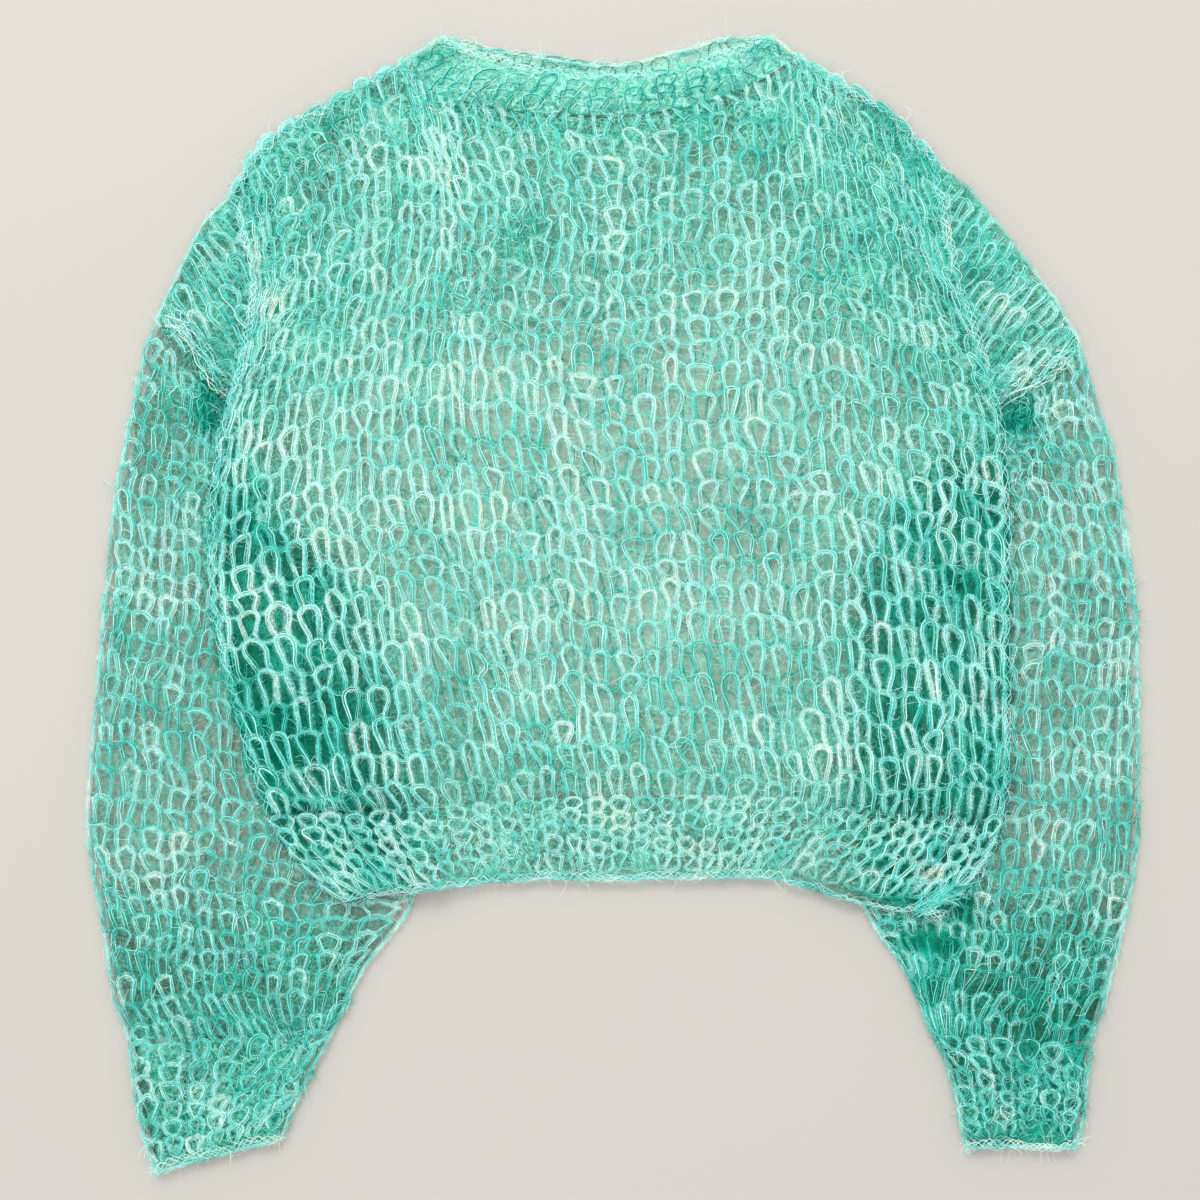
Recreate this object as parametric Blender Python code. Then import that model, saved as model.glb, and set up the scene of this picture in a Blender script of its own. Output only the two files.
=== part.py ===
# Open-knit pullover laid flat, front side up, sleeves folded down beside the body.
# Metres, +Z up, +Y towards the neck, +X towards the wearer's left sleeve.
# The tables are in millimetres and every mesh is scaled to metres once, when it is made.
import math

import bmesh
import bpy

MM = 0.001
CLOTH = 3.0             # one layer of lofty knit
SEAM = 0.5              # clear distance between pieces that are sewn together
LAYER_GAP = 0.4         # clear distance between layers at the edge of the body
LAYER_AIR = 0.9         # extra distance between the layers inside the body
TUBE_AIR = 0.6          # inside a flattened tube
TUBE = 2 * CLOTH + TUBE_AIR
LIFT = TUBE + 0.7       # how high the body is where it lies on a sleeve
LIFT_MARGIN = 12.0      # the body is fully lifted this far beyond the sleeve's edge
LIFT_RAMP = 24.0        # and comes down to the table over this distance

SHOULDER_COLUMNS = (10, 8)      # columns of the panels under the right and the left shoulder
NECK_COLUMNS = 18
PANEL_ROWS = 20
UNDERARM = 0.65         # share of the panel's side that is side seam, the rest is armhole

HEM_RIBS = 15
NECK_RIBS = 9
CUFF_RIBS = 4
RIB_RAISE = 1.1

# Side of the body, from the hem band up to the shoulder.
# share up, right side x, right side y, left side x, left side y
SIDE_ROWS = [
    (0.00, -216.7, -129.9, 239.0, -136.1),
    (0.10, -229.5, -95.0, 242.4, -98.0),
    (0.25, -245.0, -38.0, 242.5, -36.0),
    (0.35, -252.0, 0.0, 242.7, 5.0),
    (0.50, -252.0, 58.0, 242.5, 62.0),
    (0.60, -246.0, 104.0, 239.5, 102.0),
    (0.65, -240.9, 124.3, 235.9, 124.3),
    (0.75, -232.5, 159.0, 226.0, 161.0),
    (0.85, -228.0, 196.0, 212.5, 205.0),
    (0.95, -236.0, 234.0, 202.5, 251.5),
    (1.00, -241.5, 249.6, 198.7, 273.1),
]

# Top edge of the body: shoulder, neck edge, shoulder.
# share across, x, y of the front's edge, y of the back's edge
TOP_ROWS = [
    (0.0000, -241.5, 249.6, 249.6),
    (0.0810, -218.4, 284.0, 284.0),
    (0.1620, -181.0, 307.6, 307.6),
    (0.2700, -133.0, 334.0, 334.0),
    (0.3272, -113.0, 316.5, 323.5),
    (0.3844, -86.0, 308.5, 317.0),
    (0.4417, -57.0, 304.2, 312.6),
    (0.4989, -27.0, 301.6, 309.8),
    (0.5561, 3.0, 301.4, 309.2),
    (0.6133, 33.0, 304.2, 311.2),
    (0.6706, 62.0, 312.0, 316.5),
    (0.7278, 89.0, 323.0, 325.5),
    (0.7850, 111.0, 337.6, 337.6),
    (0.8656, 142.6, 318.8, 318.8),
    (0.9194, 166.8, 304.6, 304.6),
    (1.0000, 198.7, 273.1, 273.1),
]
NECK_FIRST = 0.27       # share across at which the neck edge begins
NECK_LAST = 0.785       # and ends

# Seam between the body and the hem band, and the hem band's lower edge.
# share across, seam x, seam y, lower edge x, lower edge y
HEM_ROWS = [
    (0.00, -216.7, -129.9, -173.3, -184.5),
    (0.08, -178.0, -130.0, -146.0, -181.0),
    (0.20, -122.5, -126.5, -104.0, -175.5),
    (0.33, -60.5, -123.0, -54.0, -171.6),
    (0.47, 1.6, -121.2, 0.0, -171.2),
    (0.60, 63.5, -121.8, 51.0, -170.6),
    (0.73, 125.5, -124.3, 97.7, -171.4),
    (0.87, 187.6, -130.0, 150.0, -186.0),
    (1.00, 239.0, -136.1, 199.5, -194.5),
]

# Neckband's upper edge.
# share across, x, y of the front half, y of the back half
NECK_TOP_ROWS = [
    (0.00, -108.5, 350.6, 350.6),
    (0.14, -84.0, 338.5, 345.0),
    (0.28, -54.0, 331.5, 340.5),
    (0.42, -24.0, 328.0, 335.8),
    (0.54, 3.0, 327.0, 334.6),
    (0.68, 33.0, 330.5, 342.0),
    (0.84, 66.0, 340.0, 350.0),
    (1.00, 95.0, 351.0, 351.0),
]

# Sections of the sleeves, from the armhole to the cuff's seam. The outer end of a section lies on
# the sleeve's outline, the inner end is hidden beneath the body down to the hem.
# outer x, outer y, inner x, inner y, share of the armhole's curve, height, fold
RIGHT_SLEEVE_ROWS = [
    (-242.3, 249.9, -241.9, 125.2, 1.00, 6.6, 0.0),
    (-255.5, 235.5, -242.8, 125.0, 0.80, 7.6, 0.0),
    (-269.0, 208.2, -243.9, 124.4, 0.50, 9.6, 0.0),
    (-283.0, 177.0, -244.9, 123.2, 0.25, 11.6, 0.0),
    (-287.6, 168.6, -245.4, 121.4, 0.15, 11.0, 0.0),
    (-291.6, 159.2, -245.6, 118.8, 0.00, 7.0, 0.0),
    (-294.0, 147.4, -236.5, 105.7, 0.00, 6.6, 0.2),
    (-298.6, 125.6, -220.4, 76.0, 0.00, 6.6, 0.6),
    (-305.6, 94.8, -198.1, 46.2, 0.00, 6.6, 1.0),
    (-311.4, 63.5, -168.9, 18.9, 0.00, 6.6, 0.7),
    (-315.2, 26.4, -147.2, -10.8, 0.00, 6.6, 0.9),
    (-318.4, -10.8, -136.1, -48.0, 0.00, 6.6, 1.4),
    (-322.6, -54.2, -126.8, -91.5, 0.00, 6.6, 1.0),
    (-326.2, -97.7, -122.5, -134.8, 0.00, 6.6, 1.3),
    (-328.6, -134.8, -124.3, -167.1, 0.00, 6.6, 1.6),
    (-325.4, -165.8, -129.9, -189.4, 0.00, 6.6, 1.2),
    (-319.0, -196.8, -142.9, -208.0, 0.00, 6.6, 1.8),
    (-315.4, -224.8, -157.2, -225.4, 0.00, 7.4, 2.2),
    (-310.6, -249.6, -168.9, -248.3, 0.00, 8.6, 1.4),
    (-302.4, -271.0, -179.5, -269.6, 0.00, 7.6, 0.0),
]
LEFT_SLEEVE_ROWS = [
    (199.5, 273.4, 236.9, 124.9, 1.00, 6.6, 0.0),
    (217.8, 254.4, 237.8, 124.7, 0.80, 7.8, 0.0),
    (242.8, 223.4, 238.9, 124.1, 0.55, 9.4, 0.0),
    (270.2, 186.8, 239.9, 122.9, 0.25, 11.8, 0.0),
    (282.6, 166.8, 240.4, 121.1, 0.15, 11.2, 0.0),
    (287.0, 156.8, 240.6, 118.6, 0.00, 7.0, 0.0),
    (290.5, 145.4, 230.9, 105.7, 0.00, 6.6, 0.3),
    (296.7, 124.3, 209.2, 89.6, 0.00, 6.6, 0.8),
    (306.6, 95.8, 184.4, 74.7, 0.00, 6.6, 1.1),
    (312.2, 63.5, 165.8, 49.9, 0.00, 6.6, 0.8),
    (317.8, 27.6, 150.3, 18.9, 0.00, 6.6, 1.2),
    (321.5, -10.8, 142.9, -18.3, 0.00, 6.6, 1.0),
    (322.7, -54.2, 142.9, -60.5, 0.00, 6.6, 1.5),
    (322.7, -97.7, 141.7, -100.8, 0.00, 6.6, 0.9),
    (322.7, -141.1, 145.4, -142.3, 0.00, 6.6, 1.4),
    (319.0, -175.2, 150.3, -178.2, 0.00, 6.6, 1.1),
    (312.2, -208.0, 161.5, -202.9, 0.00, 6.6, 1.7),
    (305.4, -234.1, 177.6, -225.5, 0.00, 7.6, 2.0),
    (298.5, -257.6, 188.8, -249.5, 0.00, 8.8, 1.3),
    (293.8, -273.0, 198.7, -271.6, 0.00, 7.6, 0.0),
]
CAP_SECTIONS = 6        # the first sections are the part above the underarm

# Sections of the cuffs, from the sleeve's seam to the open end.
# outer x, outer y, inner x, inner y, height
RIGHT_CUFF_ROWS = [
    (-302.2, -271.8, -179.8, -270.5, 7.4),
    (-299.6, -299.5, -192.0, -293.0, 7.0),
    (-294.2, -328.4, -202.0, -314.0, 7.2),
    (-286.5, -352.8, -209.0, -332.0, 6.8),
]
LEFT_CUFF_ROWS = [
    (293.5, -273.8, 199.1, -272.5, 7.4),
    (291.1, -295.8, 208.0, -293.3, 7.0),
    (289.2, -316.9, 212.3, -315.6, 7.2),
    (283.6, -337.4, 217.3, -337.0, 6.8),
]

# Gathers that run up the front from the hem band.
# share across, reach upwards, lean, half width, height
GATHER_ROWS = [
    (0.045, 74.0, 26.0, 11.0, 2.6),
    (0.125, 96.0, 34.0, 13.0, 3.2),
    (0.210, 70.0, 28.0, 11.0, 2.4),
    (0.290, 46.0, 14.0, 10.0, 1.6),
    (0.385, 58.0, 8.0, 12.0, 2.0),
    (0.470, 38.0, 4.0, 10.0, 1.4),
    (0.560, 52.0, 0.0, 12.0, 1.8),
    (0.640, 36.0, -5.0, 10.0, 1.4),
    (0.730, 60.0, -9.0, 12.0, 2.2),
    (0.820, 82.0, -14.0, 12.0, 2.8),
    (0.905, 62.0, -10.0, 11.0, 2.4),
    (0.965, 78.0, -6.0, 10.0, 2.6),
]

# Soft folds of the front.
# start x, start y, end x, end y, half width, height
FOLD_ROWS = [
    (-232.0, 230.0, -226.0, 150.0, 13.0, 2.6),
    (-226.0, 150.0, -244.0, 60.0, 14.0, 2.2),
    (-246.0, 10.0, -214.0, -96.0, 14.0, 2.4),
    (-196.0, 36.0, -136.0, -70.0, 24.0, 1.8),
    (-150.0, -20.0, -92.0, -104.0, 20.0, 1.6),
    (202.0, 262.0, 216.0, 176.0, 13.0, 3.0),
    (216.0, 176.0, 233.0, 100.0, 13.0, 2.8),
    (236.0, 70.0, 236.0, -96.0, 13.0, 2.2),
    (176.0, 40.0, 190.0, -96.0, 26.0, 1.8),
    (-120.0, 290.0, -60.0, 240.0, 26.0, 1.2),
    (96.0, 296.0, 60.0, 236.0, 24.0, 1.2),
]
BLOUSE_HEIGHT = 5.0     # the body puffs up above the hem band
BLOUSE_REACH = 62.0


def smooth(share):
    share = min(max(share, 0.0), 1.0)
    return share * share * (3.0 - 2.0 * share)


def row_at(rows, share, corners=()):
    # a smooth curve through the rows of a table, with a sharp turn at each corner share
    share = min(max(share, rows[0][0]), rows[-1][0])
    number = 0
    while number < len(rows) - 2 and share > rows[number + 1][0]:
        number += 1
    here = rows[number]
    after = rows[number + 1]
    span = after[0] - here[0]
    part = (share - here[0]) / span
    before = here if number == 0 or here[0] in corners else rows[number - 1]
    beyond = after if number == len(rows) - 2 or after[0] in corners else rows[number + 2]
    result = [share]
    for column in range(1, len(here)):
        slope_here = (after[column] - before[column]) / (after[0] - before[0]) * span
        slope_after = (beyond[column] - here[column]) / (beyond[0] - here[0]) * span
        square = part * part
        cube = square * part
        result.append((2 * cube - 3 * square + 1) * here[column] + (cube - 2 * square + part) * slope_here
                      + (3 * square - 2 * cube) * after[column] + (cube - square) * slope_after)
    return result


def side_at(share):
    return row_at(SIDE_ROWS, share, (UNDERARM,))


def top_at(share):
    return row_at(TOP_ROWS, share, (NECK_FIRST, NECK_LAST))


def distance_to_line(x, y, x1, y1, x2, y2):
    along_x = x2 - x1
    along_y = y2 - y1
    part = ((x - x1) * along_x + (y - y1) * along_y) / (along_x ** 2 + along_y ** 2)
    part = min(max(part, 0.0), 1.0)
    return math.hypot(x - x1 - along_x * part, y - y1 - along_y * part), part


def lower_sleeve_outline(rows):
    lower = rows[CAP_SECTIONS - 1:]
    return [(row[0], row[1]) for row in lower] + [(row[2], row[3]) for row in reversed(lower)]


def distance_outside(outline, x, y):
    inside = False
    nearest = 1.0e9
    for (x1, y1), (x2, y2) in zip(outline, outline[1:] + outline[:1]):
        nearest = min(nearest, distance_to_line(x, y, x1, y1, x2, y2)[0])
        if (y1 > y) != (y2 > y) and x < x1 + (y - y1) * (x2 - x1) / (y2 - y1):
            inside = not inside
    return 0.0 if inside else nearest


SLEEVE_OUTLINES = [lower_sleeve_outline(RIGHT_SLEEVE_ROWS), lower_sleeve_outline(LEFT_SLEEVE_ROWS)]


def rest_height(x, y):
    # height of whatever the body lies on: the table or a sleeve
    away = min(distance_outside(outline, x, y) for outline in SLEEVE_OUTLINES)
    return LIFT * (1.0 - smooth((away - LIFT_MARGIN) / LIFT_RAMP))


def panel_plan(u, v, neck_column):
    # a surface patch between the hem seam, both sides and the top edge
    side = side_at(v)
    hem = row_at(HEM_ROWS, u)
    top = top_at(u)
    low = SIDE_ROWS[0]
    high = SIDE_ROWS[-1]
    result = []
    for axis in (0, 1):
        bottom_top = (1 - v) * hem[1 + axis] + v * (top[1] if axis == 0 else top[neck_column])
        sides = (1 - u) * side[1 + axis] + u * side[3 + axis]
        corners = (1 - v) * ((1 - u) * low[1 + axis] + u * low[3 + axis])
        corners += v * ((1 - u) * high[1 + axis] + u * high[3 + axis])
        result.append(bottom_top + sides - corners)
    return result


def front_folds(u, v, x, y):
    height = 0.0
    above_hem = max(y - row_at(HEM_ROWS, u)[2], 0.0)
    if above_hem < BLOUSE_REACH:
        height += BLOUSE_HEIGHT * math.sin(math.pi * (above_hem / BLOUSE_REACH) ** 0.7) ** 2
    for share, reach, lean, half_width, raise_by in GATHER_ROWS:
        part = above_hem / reach
        if part < 1.0:
            start_x = row_at(HEM_ROWS, share)[1]
            away = abs(x - start_x + lean * part) / half_width
            height += raise_by * (1 - smooth(away)) * (1 - smooth(part)) * smooth(above_hem / 8.0 + 0.3)
    for x1, y1, x2, y2, half_width, raise_by in FOLD_ROWS:
        away, part = distance_to_line(x, y, x1, y1, x2, y2)
        height += raise_by * (1 - smooth(away / half_width))
    edge = min(v / 0.03, (1 - v) / 0.03, 1.0)
    return height * smooth(edge)


def new_object(name, points, faces, color):
    mesh = bpy.data.meshes.new(name)
    mesh.from_pydata([(x * MM, y * MM, z * MM) for x, y, z in points], [], faces)
    mesh.validate()
    piece = bpy.data.objects.new(name, mesh)
    bpy.context.collection.objects.link(piece)
    material = bpy.data.materials.new("knit_" + name)
    material.use_nodes = True
    shader = material.node_tree.nodes["Principled BSDF"]
    shader.inputs["Base Color"].default_value = (*color, 1.0)
    shader.inputs["Roughness"].default_value = 0.85
    shader.inputs["Sheen Weight"].default_value = 0.35
    mesh.materials.append(material)
    shape = bmesh.new()
    shape.from_mesh(mesh)
    bmesh.ops.recalc_face_normals(shape, faces=shape.faces)
    for face in shape.faces:
        face.smooth = True
    shape.to_mesh(mesh)
    shape.free()
    return piece


def column_shares():
    # the columns meet both corners of the neck
    right, left = SHOULDER_COLUMNS
    shares = [NECK_FIRST * step / right for step in range(right)]
    shares += [NECK_FIRST + (NECK_LAST - NECK_FIRST) * step / NECK_COLUMNS for step in range(NECK_COLUMNS)]
    shares += [NECK_LAST + (1 - NECK_LAST) * step / left for step in range(left + 1)]
    return shares


def add_panel(name, neck_column, is_front, color):
    # a plate of even thickness over a grid of rows and columns
    lower = []
    upper = []
    columns = column_shares()
    for row in range(PANEL_ROWS + 1):
        for u in columns:
            v = row / PANEL_ROWS
            x, y = panel_plan(u, v, neck_column)
            height = rest_height(x, y)
            if is_front:
                inside = smooth(min(u, 1 - u, v, 1 - v) / 0.1)
                height += CLOTH + LAYER_GAP + LAYER_AIR * inside + front_folds(u, v, x, y)
            lower.append((x, y, height))
            upper.append((x, y, height + CLOTH))
    count = len(lower)
    wide = len(columns)
    faces = []
    for row in range(PANEL_ROWS):
        for column in range(wide - 1):
            corner = row * wide + column
            far = corner + 1 + wide
            # both sides are split along the same diagonal, so the wall and the gaps stay even
            for triangle in ([corner, corner + 1, far], [corner, far, corner + wide]):
                faces.append([count + index for index in triangle])
                faces.append(triangle[::-1])
    rim = list(range(wide))
    rim += [row * wide + wide - 1 for row in range(1, PANEL_ROWS + 1)]
    rim += [PANEL_ROWS * wide + column for column in range(wide - 2, -1, -1)]
    rim += [row * wide for row in range(PANEL_ROWS - 1, 0, -1)]
    for here, after in zip(rim, rim[1:] + rim[:1]):
        faces.append([here, after, count + after, count + here])
    return new_object(name, lower + upper, faces, color)


def tube_section(shares, height_at, place, ribs=0):
    # One flattened ring: over the top from the outer end to the inner end and back underneath.
    # Returns the outer points and the inner points, in the same order.
    outer = []
    inner = []
    for side in (1, -1):
        order = shares if side == 1 else shares[::-1]
        for share in order:
            height = height_at(share)
            on_rib = side == 1 and ribs and round(share * ribs * 3) % 3 > 0
            rib = RIB_RAISE if on_rib else 0.0
            x, y, z = place(share, side)
            if side == 1:
                outer.append((x, y, z + height + rib))
                inner.append((x, y, z + height - CLOTH))
            else:
                outer.append((x, y, z))
                inner.append((x, y, z + CLOTH))
        end = 1.0 if side == 1 else 0.0
        half = height_at(end) / 2
        x, y, z = place(end, side)
        near_x, near_y, _ = place(abs(end - 0.12), side)
        length = math.hypot(x - near_x, y - near_y)
        out_x = (x - near_x) / length
        out_y = (y - near_y) / length
        for angle in (50, 0, -50) if side == 1 else (-50, 0, 50):
            reach = math.cos(math.radians(angle))
            rise = math.sin(math.radians(angle))
            hole = half - CLOTH
            outer.append((x + out_x * half * reach, y + out_y * half * reach, z + half + half * rise))
            inner.append((x + out_x * hole * reach, y + out_y * hole * reach, z + half + hole * rise))
    return outer, inner


def add_tube(name, sections, color):
    count = len(sections[0][0])
    points = []
    for outer, inner in sections:
        points += outer + inner
    faces = []
    for number in range(len(sections) - 1):
        for index in range(count):
            after = (index + 1) % count
            here = number * 2 * count
            there = here + 2 * count
            faces.append([here + index, here + after, there + after, there + index])
            faces.append([here + count + after, here + count + index,
                          there + count + index, there + count + after])
    last = (len(sections) - 1) * 2 * count
    for index in range(count):
        after = (index + 1) % count
        faces.append([after, index, count + index, count + after])
        faces.append([last + index, last + after, last + count + after, last + count + index])
    return new_object(name, points, faces, color)


def add_sleeve(name, rows, side_columns, color):
    # the first section follows the armhole, the last one meets the cuff
    steps = 7
    shares = [step / steps for step in range(steps + 1)]
    top = SIDE_ROWS[-1]
    bottom = side_at(UNDERARM)
    x_column, y_column = side_columns
    sections = []
    numbered = [(float(number), *row) for number, row in enumerate(rows)]
    for half_step in range(2 * len(rows) - 1):
        out_x, out_y, in_x, in_y, curve, height, fold = row_at(numbered, half_step / 2)[1:]
        end_height = TUBE + 0.35 * max(height - TUBE, 0.0)
        inset = end_height / 2 / math.hypot(out_x - in_x, out_y - in_y)

        def place(share, side, row=(out_x, out_y, in_x, in_y, curve, inset)):
            ax, ay, bx, by, bend, edge = row
            part = min(max(share, edge), 1 - edge)
            seam = side_at(1 - (1 - UNDERARM) * part)
            bow_x = seam[x_column] - (top[x_column] + (bottom[x_column] - top[x_column]) * part)
            bow_y = seam[y_column] - (top[y_column] + (bottom[y_column] - top[y_column]) * part)
            return ax + (bx - ax) * part + bow_x * bend, ay + (by - ay) * part + bow_y * bend, 0.0

        def height_at(share, full=height, extra=fold):
            slack = max(full - TUBE, 0.0)
            swell = math.sin(math.pi * min(max(share, 0.0), 1.0))
            ridge = math.exp(-((share - 0.2) / 0.09) ** 2)
            return TUBE + slack * (0.35 + 0.65 * swell) + extra * ridge

        sections.append(tube_section(shares, height_at, place))
    return add_tube(name, sections, color)


def add_cuff(name, rows, color):
    shares = [step / (CUFF_RIBS * 3) for step in range(CUFF_RIBS * 3 + 1)]
    sections = []
    for out_x, out_y, in_x, in_y, height in rows:
        inset = height * 0.5 / math.hypot(out_x - in_x, out_y - in_y)

        def place(share, side, row=(out_x, out_y, in_x, in_y, inset)):
            ax, ay, bx, by, edge = row
            part = min(max(share, edge), 1 - edge)
            return ax + (bx - ax) * part, ay + (by - ay) * part, 0.0

        def height_at(share, full=height):
            return full

        sections.append(tube_section(shares, height_at, place, CUFF_RIBS))
    return add_tube(name, sections, color)


def add_hem_band(color):
    steps = HEM_RIBS * 3
    shares = [step / steps for step in range(steps + 1)]
    sections = []
    for down in (0.0, 0.36, 0.7, 1.0):

        def place(share, side, down=down):
            row = row_at(HEM_ROWS, min(max(share, 0.008), 0.992))
            bulge = 4 * down * (1 - down) * (2 * share - 1) ** 3 * 7.0
            x = row[1] + (row[3] - row[1]) * down + bulge
            y = row[2] - SEAM + (row[4] - row[2] + SEAM) * down
            return x, y, rest_height(x, y)

        def height_at(share, down=down):
            return TUBE + LAYER_GAP

        sections.append(tube_section(shares, height_at, place, HEM_RIBS))
    return add_tube("hem_band", sections, color)


def add_neckband(color):
    # the front half lies over the back half and sits lower on the body
    steps = NECK_RIBS * 3
    shares = [step / steps for step in range(steps + 1)]
    sections = []
    for up in (0.0, 0.5, 1.0):

        def place(share, side, up=up):
            part = min(max(share, 0.012), 0.988)
            seam = top_at(NECK_FIRST + (NECK_LAST - NECK_FIRST) * part)
            edge = row_at(NECK_TOP_ROWS, part)
            column = 2 if side == 1 else 3
            x = seam[1] + (edge[1] - seam[1]) * up
            y = seam[column] + SEAM + 0.4 + (edge[column] - seam[column] - SEAM - 0.4) * up
            return x, y, 0.0

        def height_at(share):
            return TUBE + LAYER_GAP

        sections.append(tube_section(shares, height_at, place, NECK_RIBS))
    return add_tube("neckband", sections, color)


def settle(pieces):
    # the origin is the middle of the outline, on the table
    low = [min(v.co[axis] for piece in pieces for v in piece.data.vertices) for axis in range(3)]
    high = [max(v.co[axis] for piece in pieces for v in piece.data.vertices) for axis in range(3)]
    for piece in pieces:
        for vertex in piece.data.vertices:
            vertex.co.x -= (low[0] + high[0]) / 2
            vertex.co.y -= (low[1] + high[1]) / 2


for old in list(bpy.data.objects):
    bpy.data.objects.remove(old, do_unlink=True)

KNIT = (0.20, 0.66, 0.53)
KNIT_UNDER = (0.16, 0.58, 0.46)
RIB = (0.27, 0.72, 0.60)

parts = [
    add_panel("back", 3, False, KNIT_UNDER),
    add_panel("front", 2, True, KNIT),
    add_sleeve("right_sleeve", RIGHT_SLEEVE_ROWS, (1, 2), KNIT),
    add_sleeve("left_sleeve", LEFT_SLEEVE_ROWS, (3, 4), KNIT),
    add_hem_band(RIB),
    add_neckband(RIB),
    add_cuff("right_cuff", RIGHT_CUFF_ROWS, RIB),
    add_cuff("left_cuff", LEFT_CUFF_ROWS, RIB),
]
settle(parts)
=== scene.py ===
import math

import bmesh
import bpy
import numpy as np
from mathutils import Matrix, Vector
from mathutils.bvhtree import BVHTree


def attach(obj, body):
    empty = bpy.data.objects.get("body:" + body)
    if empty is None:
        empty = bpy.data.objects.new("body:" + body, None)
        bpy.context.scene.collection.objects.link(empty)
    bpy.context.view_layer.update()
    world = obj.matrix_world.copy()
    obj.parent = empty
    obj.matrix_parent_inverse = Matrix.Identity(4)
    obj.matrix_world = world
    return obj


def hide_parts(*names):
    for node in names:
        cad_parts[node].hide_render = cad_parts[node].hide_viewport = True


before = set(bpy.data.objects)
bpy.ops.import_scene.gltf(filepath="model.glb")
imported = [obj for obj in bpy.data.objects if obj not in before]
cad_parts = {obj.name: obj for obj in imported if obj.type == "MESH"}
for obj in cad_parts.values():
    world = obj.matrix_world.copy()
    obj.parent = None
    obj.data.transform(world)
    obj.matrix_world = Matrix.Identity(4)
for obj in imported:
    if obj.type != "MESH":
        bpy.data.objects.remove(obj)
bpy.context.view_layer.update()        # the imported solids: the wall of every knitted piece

# Open-knit mohair pullover, laid flat with its front up. Metres, +Z up, +Y towards the neck.
# The tables are in millimetres, and +X is the side of the wearer's left sleeve.
mm = 0.001
middle = (2.835, 0.679)          # where the tables' origin lies in the frame, millimetres
wall = 3.0                       # thickness of the solids' walls
fine = 3                         # guide points to a stitch
lowest = 0.6                     # no yarn lies lower than this
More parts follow.
